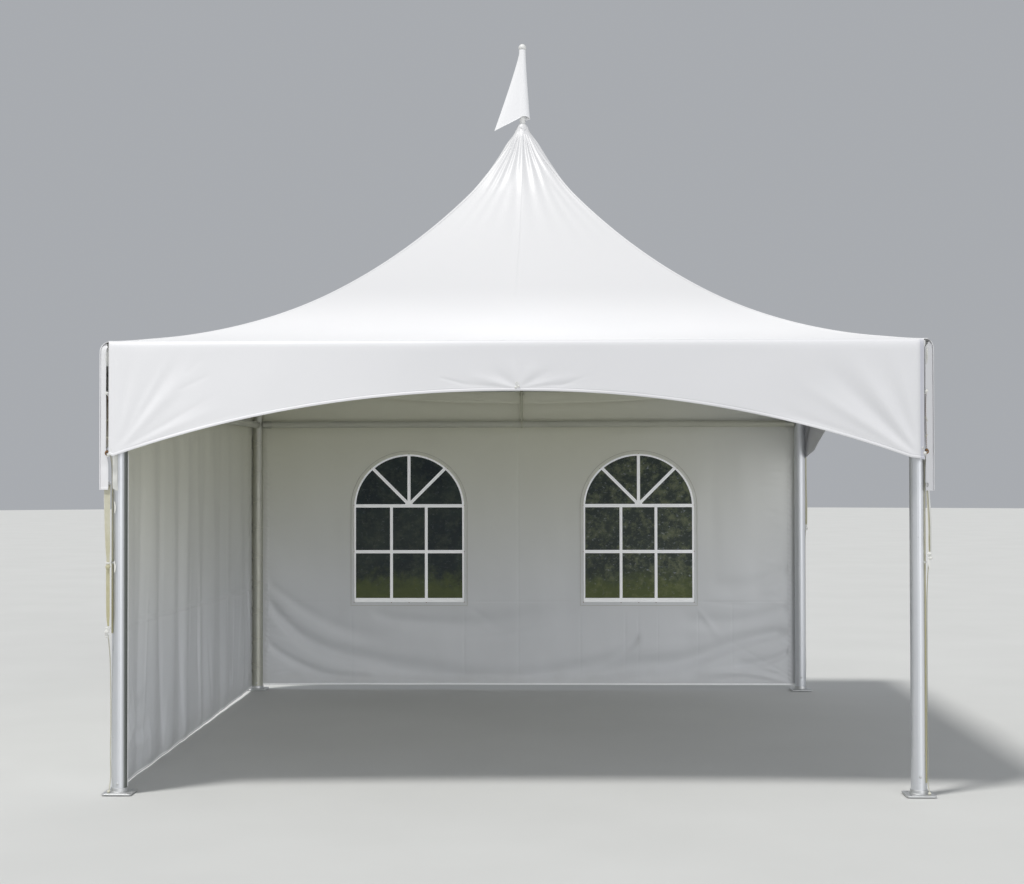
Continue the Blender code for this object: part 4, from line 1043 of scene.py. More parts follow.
def left_wall():
    """Side wall in soft, uneven upright folds. Its front end is tucked in behind the leg."""
    y = np.linspace(-LEFT_FRONT, HALF, 314)
    inner = list(y[(y > -LEFT_FRONT + 0.016) & (y < HALF - 0.016)])
    ends = [sign * end - sign * inset for sign, end in ((-1, LEFT_FRONT), (1, HALF))
            for inset in (0, 0.0015, 0.006, 0.012, 0.0150)]
    y = np.array(sorted(inner + ends))[None, :]
    tuck = np.clip(1 - (y + LEFT_FRONT) / TUCK_LENGTH, 0, 1) ** 2
    bottom = 0.002 + 0.018 * np.clip((y + 0.4) / 2.65, 0, 1)
    seam = 0.945 - 0.022 * (y + LEFT_FRONT)
    up = [(0, d) for d in (0, 0.0012, 0.004, 0.009, 0.0135, 0.0155, 0.022)]
    up += [(share, 0.022 * (1 - share)) for share in np.linspace(0, 1, 38)[1:-1]]
    up += [(1, d) for d in (-0.0125, -0.0095, 0.0095, 0.0125)]
    up += [(share, 0.0125 * (2 - share)) for share in np.linspace(1, 2, 56)[1:]]
    z = np.concatenate([np.where(share <= 1, bottom + (seam - bottom) * min(share, 1),
                                 seam + (WALL_TOP - seam) * (share - 1)) + rise for share, rise in up])
    z[-1] = WALL_TOP
    share = np.interp(z, [0, 0.4, 1.3, 2.0, 2.3, WALL_TOP], [1.0, 1.0, 0.85, 0.50, 0.25, 0.10])
    fold = np.zeros(z.shape)
    for middle, width, depth, lean in (
        (-1.93, 0.15, -0.019, 0.03), (-1.33, 0.15, -0.020, 0.04), (-1.05, 0.07, 0.008, -0.03),
        (-0.78, 0.13, -0.017, 0.04), (-0.50, 0.07, 0.007, 0.02), (-0.33, 0.11, -0.014, 0.03),
        (0.10, 0.09, -0.009, -0.02), (0.30, 0.08, 0.008, 0.02), (0.54, 0.19, -0.018, 0.03),
        (0.92, 0.07, 0.006, 0.02), (1.15, 0.12, -0.010, 0.04), (1.66, 0.20, -0.018, -0.03),
        (2.05, 0.09, -0.008, 0.02), (-1.62, 0.06, 0.006, 0.02),
    ):
        line = middle + lean * (z - 1.2) + 0.03 * np.sin(2.2 * z + 9 * middle)
        fold = fold + 1.6 * depth * share * np.exp(-((y - line) / width) ** 2)
    random = np.random.default_rng(77)
    for _ in range(26):
        foot = random.uniform(-2.1, 2.2)
        end = (foot + random.uniform(-0.16, 0.16), random.uniform(0.35, 1.5))
        height = random.choice((-1, 1)) * random.uniform(0.0032, 0.0080)
        fold = fold + crease(y, z, (foot, 0.02), end, random.uniform(0.014, 0.030), height)
    fold = add_creases(fold, y, z, (-LEFT_FRONT, 0.06), (
        ((-1.95, 0.95), 0.034, -0.0140), ((-1.70, 0.72), 0.030, 0.0125), ((-1.45, 0.60), 0.032, -0.0130),
        ((-1.20, 0.38), 0.022, 0.0085), ((-1.05, 0.26), 0.020, -0.0085), ((-2.10, 1.10), 0.022, 0.0065),
        ((-1.60, 0.16), 0.012, 0.0040),
    ))
    for _ in range(7):
        end = (HALF - random.uniform(0.2, 0.8), random.uniform(1.2, 2.1))
        fold = fold + crease(y, z, (HALF - 0.02, 2.21), end, 0.020, random.uniform(-0.006, 0.007))
    for pull in np.arange(0.14, 2.2, 0.12):
        end = (HALF - random.uniform(0.08, 0.30), pull + random.uniform(-0.10, 0.10))
        fold = fold + crease(y, z, (HALF - 0.02, pull), end, 0.012, random.uniform(-0.004, 0.004))
    fold = fold + ripples(2.5 * y, 0.5 * z, 61, 0.9, 0.0020) * smoothstep(WALL_TOP, 1.9, z)
    fold = fold + 0.0014 * lap(z, seam)
    fold = 0.045 * np.tanh((fold + 0.002) / 0.045) * smoothstep(-0.01, 0.05, y + LEFT_FRONT)
    fold = fold * smoothstep(-0.01, 0.05, HALF - y) * smoothstep(-0.03, 0.08, z - bottom)
    free = smoothstep(-2.21, -2.05, y) * smoothstep(2.20, 2.05, y) * smoothstep(2.20, 2.05, z)
    fold = np.maximum(fold, -0.036 * free - 0.0005) + 0.0006
    depth = smoothstep(TUCK_TOP, TUCK_FULL, z)
    hem = np.zeros(z.shape)
    hem[1:5] = 0.0013
    hem = hem * smoothstep(-0.1, 0.3, y + 2.0)
    near = -(WALL_INNER + fold) + TUCK * depth * tuck - hem
    face = np.stack(np.broadcast_arrays(near, y, z), axis=2)
    solid = sheet_solid(face, face - np.array([WALL_CLOTH, 0, 0]))
    piece = add_piece("left_wall_cloth", [solid], "wall", ["left_wall"])
    edge = face[3:-2, 0] + np.array([0.0012, -0.0004, 0])
    low = face[3, 2:-2] + np.array([0.0004, 0, 0])
    upright = sweep_solid(edge, 0.0034, 0.0022, across=(1, 0, 0), sides=10)
    add_piece("left_wall_edge", [upright], "hem")
    add_piece("left_wall_hem", [sweep_solid(low, 0.0050, 0.0020)], "hem")


# Fittings, feet and ties

def aimed(direction, centre):
    """Matrix that stands a solid made along Z on a spot, pointing in a direction."""
    turn = Vector((0, 0, 1)).rotation_difference(Vector(direction)).to_matrix().to_4x4()
    return Matrix.Translation(centre) @ turn


def bolt_solids(centre, direction, size=0.007):
    """Hexagon head with its washer and the end of its shank."""
    head = turned_solid([(0, 0.002), (size, 0.002), (size, 0.0062), (size * 0.8, 0.0074), (0, 0.0074)], 6)
    washer = turned_solid([(0, -0.001), (size * 1.5, -0.001), (size * 1.5, 0.0017), (size * 1.4, 0.0021),
                           (0, 0.0021)])
    matrix = aimed(direction, centre)
    return [turned(head, matrix), turned(washer, matrix)]


def ring_solid(centre, first, second, size, wide, thick=None, count=24, **shape):
    """A closed loop of cord, wire or band. size is its half length along first and along second."""
    angles = 2 * np.pi * np.arange(count) / count
    first, second = np.array(first, dtype=float), np.array(second, dtype=float)
    path = (np.array(centre) + size[0] * np.cos(angles)[:, None] * first
            + size[1] * np.sin(angles)[:, None] * second)
    return sweep_solid(path, wide, thick, closed=True, **shape)


def cord_solid(spots, radius, count=40, lay=0.016):
    """Three-strand cord through a few spots. lay is the length of one turn of its strands."""
    path = smooth_path(spots, count)
    steep = abs(path[-1][2] - path[0][2]) > abs(path[-1][0] - path[0][0])
    return sweep_solid(path, radius, across=(1, 0, 0) if steep else (0, 0, 1), sides=12,
                       twist=distances_along(path) * 2 * math.pi / lay, lobes=3)


def knot_solids(centre, size):
    """A few turns of cord pulled tight over each other."""
    solids = []
    for first, second, share in (
        ((1, 0.2, 0.1), (0, 0.5, 0.9), 1.0),
        ((0.9, -0.3, 0.5), (0.1, 0.9, 0.3), 0.9),
        ((0.3, 0.1, 1), (0.8, 0.8, -0.2), 0.95),
    ):
        first = Vector(first).normalized()
        second = (Vector(second) - first * first.dot(Vector(second))).normalized()
        solids.append(ring_solid(centre, first, second, (size * 0.40 * share, size * 0.30), size * 0.22,
                                 across=first.cross(second), sides=8))
    return solids


def web_solid(spots, halves, across, thickness=0.0022, count=60):
    """A strap through a few spots, with its half width at each."""
    lengths = distances_along(np.asarray(spots))
    wide = np.interp(np.linspace(0, lengths[-1], count), lengths, halves)
    path = smooth_path(spots, count)
    return sweep_solid(path, wide, thickness / 2, across=across, sides=14, power=5.0)


def foot_plates():
    """Square plates with stake holes, a ferrule round the leg and the weld that joins them."""
    half = PLATE_SIDE / 2
    angles = 2 * np.pi * np.arange(64) / 64
    square = [np.sign(f(angles)) * np.abs(f(angles)) ** (2 / 14) for f in (np.cos, np.sin)]
    levels = [(0.0, half - 0.002), (0.0015, half), (0.0082, half), (PLATE_THICKNESS, half - 0.002)]
    points = np.concatenate([np.stack([square[0] * side, square[1] * side, np.full(64, z)], axis=1)
                             for z, side in levels])
    index = np.arange(256).reshape(4, 64)
    sides = np.stack([index[:-1], np.roll(index[:-1], -1, 1), np.roll(index[1:], -1, 1), index[1:]], axis=2)
    plate = points, sides.reshape(-1, 4).tolist() + [index[0, ::-1].tolist(), index[-1].tolist()]
    small, large = (turned_solid([(0, -0.01), (radius, -0.01), (radius, 0.02), (0, 0.02)], 28)
                    for radius in (0.0075, 0.011))
    stake_holes = ((0.050, 0.048, small), (-0.056, -0.058, small),
                   (-0.058, 0.055, large), (0.060, -0.056, large))
    spigot = turned_solid([(0, 0.0095), (0.039, 0.0095), (0.039, 0.105), (0.036, 0.110), (0, 0.110)], 24)
    outline = [(0.0448, 0.0104), (0.0492, 0.0104), (0.0492, 0.0330), (0.0478, 0.0350), (0.0448, 0.0350)]
    ferrule = turned_solid(outline, 40, ring=True)
    wave = 0.0030 + 0.0006 * np.sin(31 * np.arange(96) * 2 * np.pi / 96)
    weld = ring_solid((0, 0, 0.0125), (1, 0, 0), (0, 1, 0), (0.0505, 0.0505), wave, count=96, sides=8)
    for corner, (sx, sy) in CORNERS.items():
        place = Matrix.Translation((sx * HALF, sy * HALF, 0))
        piece = add_piece("foot_plate_" + corner, [turned(plate, place)], "steel",
                          ["base_plate_" + corner])
        cut(piece, [turned(hole, place @ Matrix.Translation((sx * x, sy * y, 0)))
                    for x, y, hole in stake_holes])
        add_piece("foot_ferrule_" + corner, [turned(solid, place) for solid in (spigot, ferrule, weld)],
                  "steel")


def bolts():
    """Through bolts at the foot and head of each leg and at the ends of the beams."""
    for corner, (sx, sy) in CORNERS.items():
        x, y = sx * HALF, sy * HALF
        low = FOOT_BOLT_LEFT if sx < 0 else FOOT_BOLT_RIGHT
        solids = bolt_solids((x, y - LEG_RADIUS, low), (0, -1, 0), 0.005)
        solids += bolt_solids((x, y + LEG_RADIUS, low), (0, 1, 0), 0.005)
        for z in (2.415, 2.455):
            solids += bolt_solids((x - sx * LEG_RADIUS, y, z), (-sx, 0, 0), 0.006)
        solids += bolt_solids((x, y - sy * LEG_RADIUS, 2.435), (0, -sy, 0), 0.006)
        for away in (0.035, 0.070):
            beam = HALF - LEG_RADIUS - away
            solids += bolt_solids((sx * beam, y - sy * BEAM_RADIUS, BEAM_HEIGHT), (0, -sy, 0), 0.006)
            solids += bolt_solids((x - sx * BEAM_RADIUS, sy * beam, BEAM_HEIGHT), (-sx, 0, 0), 0.006)
        add_piece("bolts_" + corner, solids, "steel")


def stay_cables():
    """Wire ropes from the corners to the mast foot, each with eyes, swaged sleeves and a turnbuckle."""
    for corner, (sx, sy) in CORNERS.items():
        out = Vector((sx, sy, 0)).normalized()
        low = out * 0.0895 + Vector((0, 0, 2.455))
        high = out * 3.1350 + Vector((0, 0, 2.517))
        along = (high - low).normalized()
        across = Vector((0, 0, 1)).cross(along).normalized()
        up = along.cross(across)

        def at(distance, side=0.0):
            return np.array(low + along * distance + across * side)

        length = (high - low).length
        path = np.linspace(at(0.300), at(length - 0.045), 350)
        twist = np.linspace(0, 2 * math.pi * (length - 0.345) / 0.060, 350)
        solids = [sweep_solid(path, 0.0032, across=across, sides=18, twist=twist, lobes=6)]
        for end, away in ((0.300, 1), (length - 0.045, -1)):
            sleeve = np.linspace(at(end + away * 0.012), at(end + away * 0.062), 8)
            solids.append(sweep_solid(sleeve, [0.004, 0.0058, 0.006, 0.006, 0.006, 0.006, 0.0058, 0.004],
                                      across=across, sides=14))
            solids.append(ring_solid(at(end - away * 0.012), along, up, (0.026, 0.012), 0.0030, count=28,
                                     across=across))
        for end in (0.012, 0.262):
            solids.append(ring_solid(at(end), along, across, (0.016, 0.009), 0.0032, across=up))
        for start, end in ((0.028, 0.100), (0.180, 0.246)):
            solids.append(sweep_solid(np.linspace(at(start), at(end), 24), 0.0036, across=across, sides=12))
        for side in (-0.009, 0.009):
            body = np.linspace(at(0.078, side), at(0.200, side), 12)
            solids.append(sweep_solid(body, 0.0026, 0.0040, across=across, sides=12, power=3.0))
        for end in (0.078, 0.200):
            block = np.linspace(at(end, -0.0115), at(end, 0.0115), 8)
            solids.append(sweep_solid(block, 0.0062, 0.0055, across=up, sides=12, power=3.0))
        add_piece("stay_rope_" + corner, solids, "wire", ["stay_cable_" + corner])


def rail_sleeves():
    """Pockets of wall cloth round the two rails that carry the walls, coloured darker and more olive than the
    wall as painted shade.
    """
    for side in ("rear", "left"):
        along = np.linspace(-2.165, 2.165, 124)[None, :]
        turn = np.radians(np.linspace(94, 446, 26))[:, None]
        radius = 0.0272 + ripples(along, turn / 20, SIDES[side] + 2, 0.30, 0.0003)
        face = np.stack(np.broadcast_arrays(along, -HALF - radius * np.cos(turn),
                                            RAIL_HEIGHT + radius * np.sin(turn)), axis=2)
        centre = np.stack(np.broadcast_arrays(along + 0 * turn, -HALF, RAIL_HEIGHT), axis=2)
        back = centre + (face - centre) * ((radius - 0.0012) / radius)[:, :, None]
        solid = turned(sheet_solid(face, back), round_z(SIDES[side]))
        piece = add_piece("rail_sleeve_" + side, [solid], "sleeve")


def hanger_fittings():
    """Eye under the rear beam, clamp on the beam, saddle on the rail and the nut that holds the hanger."""
    solids = [ring_solid((HANGER_X, HALF, 2.492), (1, 0, 0), (0, 0, 1), (0.015, 0.018), 0.0045,
                         across=(0, 1, 0))]
    for height, radius, wide, thick in (
        (BEAM_HEIGHT, 0.0268, 0.012, 0.0018), (RAIL_HEIGHT, 0.0300, 0.007, 0.0016),
    ):
        solids.append(ring_solid((HANGER_X, HALF, height), (0, 1, 0), (0, 0, 1), (radius, radius), wide, thick,
                                 count=36, across=(1, 0, 0), sides=12, power=4.0))
    nut = turned_solid([(0.0084, 2.2665), (0.014, 2.2665), (0.014, 2.278), (0.012, 2.280), (0.0084, 2.280)],
                       6, ring=True)
    solids.append(turned(nut, Matrix.Translation((HANGER_X, HALF, 0))))
    solids += bolt_solids((HANGER_X - 0.012, HALF - 0.0286, RAIL_HEIGHT + 0.012), (0, -1, 0), 0.005)
    add_piece("hanger_fittings", solids, "rod")


def peak_collar():
    """Cloth gathered up round the pole and tied: its creases run into the tie from both sides."""
    outline = [(0.0620, 4.2230), (0.0632, 4.2275), (0.0610, 4.2330), (0.0562, 4.2385), (0.0548, 4.2420),
               (0.0562, 4.2455), (0.0540, 4.2510), (0.0495, 4.2600), (0.0445, 4.2720), (0.0395, 4.2850),
               (0.0340, 4.2970), (0.0290, 4.3030), (0.0250, 4.3065), (0.0222, 4.3070), (0.0218, 4.3030),
               (0.0280, 4.2900), (0.0370, 4.2700), (0.0450, 4.2550), (0.0515, 4.2420), (0.0575, 4.2250)]
    points, faces = turned_solid(outline, 72, ring=True)
    angle = np.arctan2(points[:, 1], points[:, 0])
    z = points[:, 2]
    share = smoothstep(4.305, 4.25, z)
    wrinkle = 0.0011 * np.sin(13 * angle + 40 * (z - 4.24)) + 0.0009 * np.sin(7 * angle - 90 * (z - 4.24) + 1)
    wrinkle = wrinkle + 0.0008 * np.sin(23 * angle + 2)
    points[:, :2] *= (1 + share * wrinkle / np.hypot(points[:, 0], points[:, 1]))[:, None]
    ties = [ring_solid((0, 0, z), (1, 0, 0.03), (0, 1, 0.02), (radius, radius), 0.0016, count=60, sides=8)
            for z, radius in ((4.2422, 0.0560), (4.2392, 0.0570), (4.2360, 0.0592))]
    add_piece("peak_tie", ties, "seam")
    spots = [(0.0405, -0.021, 4.262), (0.018, -0.0470, 4.259),
             (-0.012, -0.0430, 4.274), (-0.035, -0.017, 4.284)]
    fold = sweep_solid(smooth_path(spots, 20), 0.005, 0.0012, power=4.0)
    add_piece("peak_wrap", [(points, faces), fold], "canopy", ["peak_collar"])


def pennant():
    """A limp flag: its sleeve covers the pole at the top and opens into a curl below."""
    rows = np.linspace(0, 1, 46)
    face = []
    for fall in rows:
        right = 0.0228 + 0.0300 * fall ** 1.3
        front = 0.0228 + 0.0080 * fall
        left = 0.0228 + 0.1770 * (max(fall - 0.05, 0) / 0.95) ** 1.12
        wrap = math.radians(172 - 118 * smoothstep(0.0, 0.75, fall))
        line = []
        for share in np.linspace(1, 0, 16)[:-1]:
            fold = 0.0035 * math.sin(5 * share + 1.5 * fall) * fall
            open_out = smoothstep(0.03, 0.20, fall)
            round_part = -front * math.sqrt(max(1 - share ** 2, 0))
            depth = round_part * (1 - open_out) + (-front * (1 - share) ** 0.6 + fold) * open_out - 0.006 * fall
            line.append((-left * share, depth, share))
        for angle in np.linspace(-math.pi / 2, wrap, 22):
            inward = 1 - 0.25 * fall * smoothstep(0.2, wrap, angle)
            line.append((right * math.cos(angle) * inward if angle > -math.pi / 2 + 0.01 else 0.0,
                         front * math.sin(angle) * inward - 0.006 * fall, 0.0))
        line = np.array(line)
        late = smoothstep(-0.9, 0.6, np.arctan2(line[:, 1] + 0.006 * fall, line[:, 0])) * (line[:, 2] == 0)
        curl = 0.022 * fall ** 3 * late
        height = 4.8385 - (0.4790 + 0.1000 * line[:, 2] ** 0.9) * fall - curl
        face.append(np.column_stack([line[:, :2], height]))
    face = np.array(face)
    crease_line = 0.0016 * np.exp(-((face[:, :, 0] + 0.017) / 0.006) ** 2) * smoothstep(4.8, 4.6, face[:, :, 2])
    face[:, :, 1] += crease_line * (face[:, :, 1] < 0)
    normals = grid_normals(face)
    back = face - normals * 0.0011
    if np.mean(np.linalg.norm(back[5:, :10, :2], axis=2)) > np.mean(np.linalg.norm(face[5:, :10, :2], axis=2)):
        back = face + normals * 0.0011
    hem = sweep_solid(face[-1, 1:] + np.array([0, 0, 0.001]), 0.0021, across=(0, 1, 0), sides=8)
    piece = add_piece("pennant_cloth", [sheet_solid(face, back), hem], "pennant", ["pennant"])


def grommet_solid(centre, direction, radius):
    """Pressed ring in the edge of a cloth."""
    outline = [(radius, -0.0012), (radius * 1.75, -0.0010), (radius * 1.85, 0.0006), (radius * 1.6, 0.0022),
               (radius * 1.2, 0.0024), (radius, 0.0010)]
    return turned(turned_solid(outline, 28, ring=True), aimed(direction, centre))


def wide_strap(at, sx, facet):
    """Broad webbing with a corded edge, drawn in by two ties and knotted at its end."""
    spots = [at(*spot) for spot in (
        (2.350, 2.314, 1.775), (2.351, 2.320, 1.70), (2.349, 2.325, 1.56), (2.345, 2.330, 1.42),
        (2.343, 2.332, 1.345), (2.343, 2.333, 1.30), (2.343, 2.333, 1.15), (2.342, 2.333, 1.02),
        (2.340, 2.333, 0.962),
    )]
    halves = [0.0285, 0.028, 0.025, 0.021, 0.014, 0.0165, 0.0165, 0.015, 0.007]
    edge = [np.array(spot) + np.array(facet) * max(half - 0.0005, 0.007) for spot, half in zip(spots, halves)]
    webs = [web_solid(spots, halves, facet)]
    whites = [cord_solid(edge, 0.0020, 60)]
    for z, size in ((1.326, 0.0165), (0.951, 0.013)):
        for down, slant, share, radius in ((0, 0.1, 1, 0.0030), (0.006, -0.12, 0.94, 0.0028)):
            whites.append(ring_solid(at(2.342, 2.333, z - down), (sx * 0.99, 0, slant), (0, 1, 0),
                                     (size * share, 0.008), radius, count=28, sides=8))
    webs += knot_solids(at(2.341, 2.340, 1.302), 0.024)
    whites += knot_solids(at(2.346, 2.339, 0.930), 0.024)
    whites += knot_solids(at(2.343, 2.337, 0.905), 0.018)
    for radius, tail in (
        (0.0030, ((2.350, 2.338, 0.932), (2.355, 2.340, 0.915), (2.353, 2.341, 0.895))),
        (0.0026, ((2.338, 2.338, 0.948), (2.329, 2.338, 0.957), (2.324, 2.336, 0.965))),
    ):
        whites.append(cord_solid([at(*spot) for spot in tail], radius, 14))
    return webs, whites


def slim_strap(at, sx, sy, facet, hold):
    """Narrow webbing with a white tape on it, both ending in a pair of knots."""
    spots = [at(*spot) for spot in (
        (2.336, 2.310, hold - 0.003), (2.339, 2.320, 1.70), (2.345, 2.329, 1.56), (2.345, 2.331, 1.44),
        (2.345, 2.331, 1.385),
    )]
    webs = [web_solid(spots, [0.0130, 0.0125, 0.0115, 0.0105, 0.0080], facet)]
    proud = [np.array(spot) + np.array((sx * 0.006, sy * 0.004, 0)) for spot in spots]
    whites = [web_solid(proud, [0.0060, 0.0060, 0.0058, 0.0055, 0.0050], facet, 0.0018)]
    whites += knot_solids(at(2.343, 2.333, 1.372), 0.022)
    whites += knot_solids(at(2.348, 2.334, 1.350), 0.024)
    tail = [at(2.340, 2.338, 1.345), at(2.338, 2.341, 1.318), at(2.343, 2.343, 1.285)]
    whites.append(web_solid(tail, [0.006, 0.006, 0.004], (sx, 0, 0), 0.003, 14))
    return webs, whites


def leg_web(at, sx, sy, wide_kind):
    """Thin webbing that runs from the ring down along the leg, and the clip that holds it there."""
    lean = math.radians(38)
    across = (-sx * math.sin(lean), sy * math.cos(lean), 0)
    out = (sx * math.cos(lean), sy * math.sin(lean), 0)
    heights = (1.7, 1.5, 1.3, 1.1, 0.92) if wide_kind else (1.7, 1.3, 0.9, 0.5, 0.2, 0.075)
    spots = [(2.328, 2.345, 1.948), (2.3255, 2.325, 1.915), (2.3232, 2.3152, 1.86)]
    spots += [(HALF + 0.0462 * math.cos(lean), HALF + 0.0462 * math.sin(lean), z) for z in heights]
    halves = [0.006] + [0.0095 if wide_kind else 0.0068] * (len(spots) - 1)
    web = web_solid([at(*spot) for spot in spots], halves, across, 0.0020, 90)
    clip = ring_solid(at(2.3222, 2.3144, 1.325), across, out, (0.0145, 0.0035), 0.005, 0.0012,
                      count=28, sides=8)
    return web, clip


def ring_and_laces(at, sx, sy, edge):
    """Ring under the curtain's end, the hook above it, and the laces and cord between them."""
    ring = ring_solid(at(edge, 2.352, 1.953), (sx * 0.9, sy * 0.3, 0.2), (0, 0.3, 0.95), (0.0085, 0.0105),
                      0.0042, count=28, across=(0, sy, 0))
    cord = [at(edge + away, v, z) for away, v, z in (
        (-0.001, 2.350, 2.290), (-0.004, 2.351, 2.20), (-0.002, 2.352, 2.08), (0, 2.351, 1.97))]
    bronze = [ring, *knot_solids(at(edge, 2.350, 1.962), 0.016), cord_solid(cord, 0.0018, 30)]
    whites = knot_solids(at(edge - 0.014, 2.366, 1.945), 0.017)
    loop = [at(edge + 0.002, 2.354, 1.940), at(edge - 0.008, 2.362, 1.932), at(edge - 0.020, 2.370, 1.948)]
    whites.append(cord_solid(loop, 0.0030, 20))
    whites.append(grommet_solid(at(edge - 0.026, 2.3715, 1.972), (sx * 0.45, sy * 0.9, 0), 0.0045))
    hook = [at(edge + away, v, z) for away, v, z in (
        (-0.004, 2.322, 2.556), (0, 2.335, 2.532), (0.002, 2.340, 2.490), (0, 2.336, 2.452))]
    whites.append(web_solid(hook, [0.011, 0.012, 0.010, 0.007], (sx * 0.9, sy * 0.45, 0), 0.0035, 24))
    whites += knot_solids(at(edge, 2.351, 2.296), 0.018)
    laces = [cord_solid([at(edge + 0.008, 2.342, z + lift), at(edge + 0.002, 2.351, z),
                         at(edge - 0.007, 2.358, z - lift), at(edge - 0.013, 2.363, z - 1.5 * lift)],
                        0.0018, 16)
             for z, lift in ((2.296, 0.012), (2.135, -0.010), (2.045, 0.006))]
    return laces[1:], whites + laces[:1], bronze


def corner_ties(corner, sx, sy):
    """What holds a canopy corner down: ring, tapes, straps knotted to a rope, and the rope to the plate."""
    def at(u, v, z):
        return (sx * u, sy * v, z)

    wide_kind = sx < 0
    hold = SHORT_TAIL_BOTTOM if corner == "rear_right" else TIE_HEIGHT
    facet = Vector((sx * 0.8, -sy * 0.6, 0))
    if wide_kind:
        webs, whites = wide_strap(at, sx, facet)
        top = 0.905
    else:
        webs, whites = slim_strap(at, sx, sy, facet, hold)
        top = 1.340
    rope = [at(2.341, 2.333, top), at(2.337, 2.326, top - 0.05), at(2.3335, 2.312, top - 0.16),
            at(2.3325, 2.304, top - 0.36), at(2.3322, 2.3035, 0.40), at(2.3335, 2.3045, 0.22),
            at(2.3320, 2.306, 0.10), at(2.336, 2.333, 0.008)]
    ropes = [cord_solid(rope, 0.0040, 260), *knot_solids(at(2.336, 2.334, 0.018), 0.016)]
    web, clip = leg_web(at, sx, sy, wide_kind)
    laces, tapes, bronze = ring_and_laces(at, sx, sy, 2.3450 if wide_kind else 2.3270)
    grommet = grommet_solid(at(2.333, 2.338, hold - 0.014 * (sx > 0)), (sx * 0.72, sy * 0.69, 0), 0.0065)

    add_piece("tie_straps_" + corner, webs + [web] + laces, "web", ["corner_strap_" + corner])
    add_piece("tie_tapes_" + corner, whites + [clip] + tapes, "tape")
    add_piece("tie_rope_" + corner, ropes, "rope")
    add_piece("tie_rings_" + corner, bronze, "bronze")
    add_piece("tail_grommet_" + corner, [grommet], "cast")


def leg_tab():
    """Tab of the front curtain's lining that shows below its left corner, with the frayed tape under it."""
    z = np.linspace(1.965, 1.748, 26)[:, None]
    x = np.linspace(-2.3145, -2.2845, 12)[None, :]
    low = smoothstep(1.80, 1.75, z)
    y = -2.3440 - 0.003 * np.sin(90 * (x + 2.30)) - ripples(x, z, 9, 0.12, 0.0010)
    y = y + 0.012 * low * (x + 2.3145) / 0.03
    z = z - 0.010 * np.sin(70 * (x + 2.31)) * low
    face = np.stack(np.broadcast_arrays(x, y, z), axis=2)
    solids = [sheet_solid(face, face + np.array([0, 0.0014, 0]))]
    for z in (1.640, 1.300):
        tape = [(-2.306, -2.332, z + 0.035), (-2.301, -2.3335, z), (-2.304, -2.3345, z - 0.03)]
        solids.append(web_solid(tape, [0.003, 0.006, 0.003], (1, 0, 0), 0.0022, 12))
    add_piece("leg_tab", solids, "tape")


def arch_clips():
    """Small tabs in the middle of each curtain's hem, where a tie pulls it up."""
    for side, turn in SIDES.items():
        reach = EAVE + VALANCE_BULGE[side]
        x = 0.006 if side == "front" else 0.0
        solids = knot_solids((x - 0.006, -reach - 0.001, ARCH_TOP + 0.020), 0.014)
        solids += knot_solids((x + 0.009, -reach - 0.001, ARCH_TOP + 0.027), 0.012)
        solids.append(grommet_solid((x, -reach - 0.0015, ARCH_TOP + 0.042), (0, -1, 0), 0.005))
        add_piece("arch_clip_" + side, [turned(solid, round_z(turn)) for solid in solids], "tape")


def wall_lacing():
    """Cord that laces the left wall to the rear post through grommets in its edge."""
    solids = []
    rings = []
    for z in np.arange(0.22, 2.2, 0.235):
        for height in (z, z - 0.06):
            rings.append(grommet_solid((-WALL_INNER + 0.0022, 2.262, height), (1, 0, 0), 0.006))
        loop = [(-WALL_INNER + 0.004, 2.262, z), (-2.318, 2.245, z + 0.005), (-2.290, 2.236, z - 0.010),
                (-2.262, 2.240, z - 0.020), (-2.245, 2.262, z - 0.028), (-2.241, 2.290, z - 0.03)]
        solids.append(cord_solid(loop, 0.0024, 30))
        solids.append(cord_solid([(-WALL_INNER + 0.004, 2.262, z - 0.06), (-2.316, 2.248, z - 0.052),
                                  (-2.292, 2.2375, z - 0.045), (-2.270, 2.2385, z - 0.040)], 0.0024, 24))
    add_piece("wall_lacing", solids, "rope")
    add_piece("wall_grommets", rings, "cast")


# Camera and light

LENS = 59.45
CAMERA_PLACE = (0.2026, -11.9827, 1.8592)
CAMERA_TURNS = ((1.343, "Z"), (90.9084, "X"), (-0.1073, "Z"))


def camera():
    """Camera in front of the open side, at standing height."""
    data = bpy.data.cameras.new("camera")
    data.sensor_fit = "HORIZONTAL"
    data.sensor_width = 36.0
    data.lens = LENS
    turn, tip, roll = (Matrix.Rotation(math.radians(angle), 4, axis) for angle, axis in CAMERA_TURNS)
    item = add_object("camera", data)
    item.matrix_world = Matrix.Translation(CAMERA_PLACE) @ turn @ tip @ roll
    bpy.context.scene.camera = item


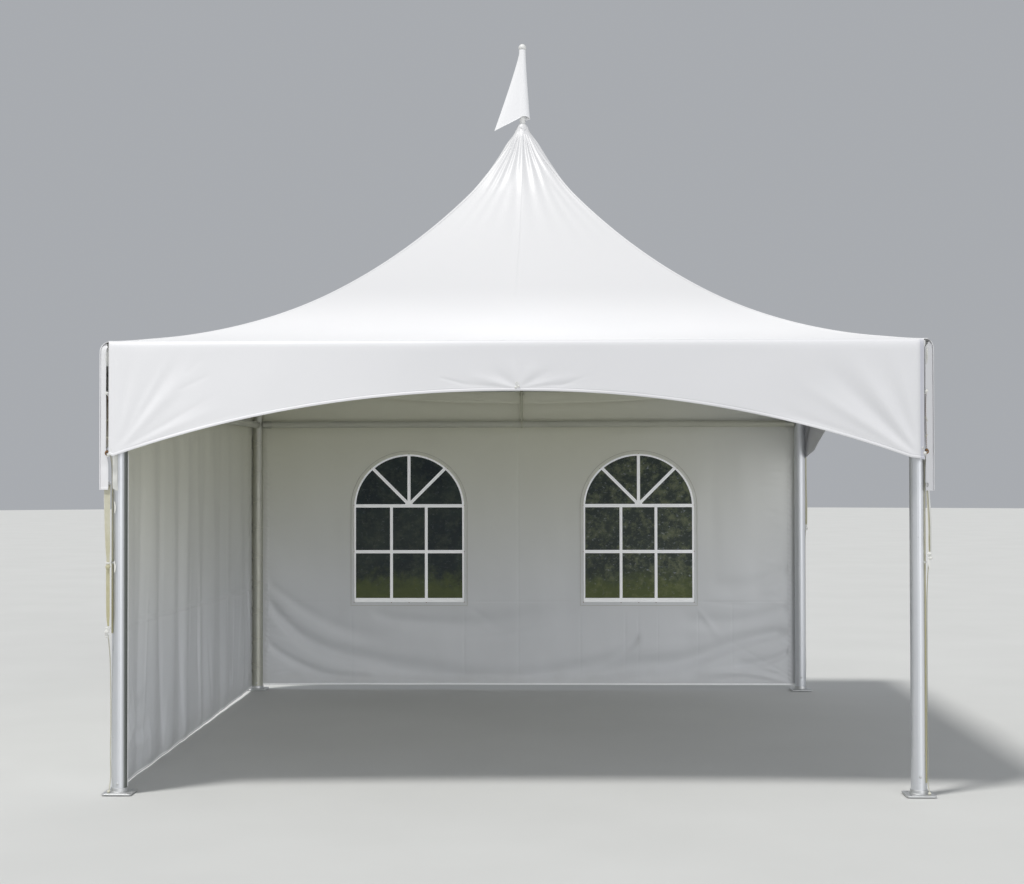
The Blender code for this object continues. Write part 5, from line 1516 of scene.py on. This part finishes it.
def sun(name, toward, strength, spread, colour):
    """Distant light with soft edges: spread is its width in degrees."""
    data = bpy.data.lights.new(name, "SUN")
    data.energy = strength
    data.angle = math.radians(spread)
    data.color = colour
    add_object(name, data).rotation_euler = Vector(toward).to_track_quat("-Z", "Y").to_euler()


def stage():
    """Plain pale floor, even light all round, a soft key from above and a weak fill from the front."""
    world = bpy.data.worlds.new("studio")
    bpy.context.scene.world = world
    world.use_nodes = True
    surround = world.node_tree.nodes["Background"]
    surround.inputs["Color"].default_value = (0.645, 0.67, 0.71, 1.0)
    surround.inputs["Strength"].default_value = 0.61
    sun("key", (0.34, 0.25, -1.0), 2.30, 9, (1.0, 0.985, 0.965))
    sun("fill", (-0.42, 0.87, -0.22), 0.90, 40, (0.985, 0.985, 1.0))
    points, faces = turned_solid([(0, -0.004), (70, -0.004)], 64)
    mesh = bpy.data.meshes.new("floor")
    mesh.from_pydata([tuple(point) for point in points], [], faces)
    look = Look("pale_floor", Roughness=0.9)
    look.feed(Base_Color=look.blend(look.noise(0.9, 3.0), (0.56, 0.565, 0.55), (0.62, 0.625, 0.61)))
    mesh.materials.append(look.material)
    add_object("floor", mesh)
    bpy.context.scene.view_settings.view_transform = "Standard"


def dress_frame():
    """Gives the parts that keep their own shape a finish."""
    finishes = {
        "aluminium": ["leg_front_right", "leg_rear_right", "mast"] + ["eave_beam_" + side for side in SIDES],
        "shaded": ["leg_rear_left", "wall_rail_rear", "wall_rail_left"],
        "leg": ["leg_front_left"],
        "rod": ["rail_hanger"],
        "cast": ["mast_foot", "mast_crown"] + ["corner_fitting_" + corner for corner in CORNERS],
        "cap": ["finial_cap", "flagpole"],
    }
    for look, names in finishes.items():
        for name in names:
            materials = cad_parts[name].data.materials
            materials.clear()
            materials.append(LOOKS[look])


camera()
stage()
dress_frame()
for name, turn in SIDES.items():
    roof_panel(name, turn)
    valance(name, turn)
hip_seams()
for name in ("rear", "left"):
    inner_flap(name, SIDES[name])
back_wall()
windows()
left_wall()
rail_sleeves()
wall_lacing()
foot_plates()
bolts()
stay_cables()
hanger_fittings()
peak_collar()
pennant()
for name, signs in CORNERS.items():
    corner_ties(name, *signs)
leg_tab()
arch_clips()
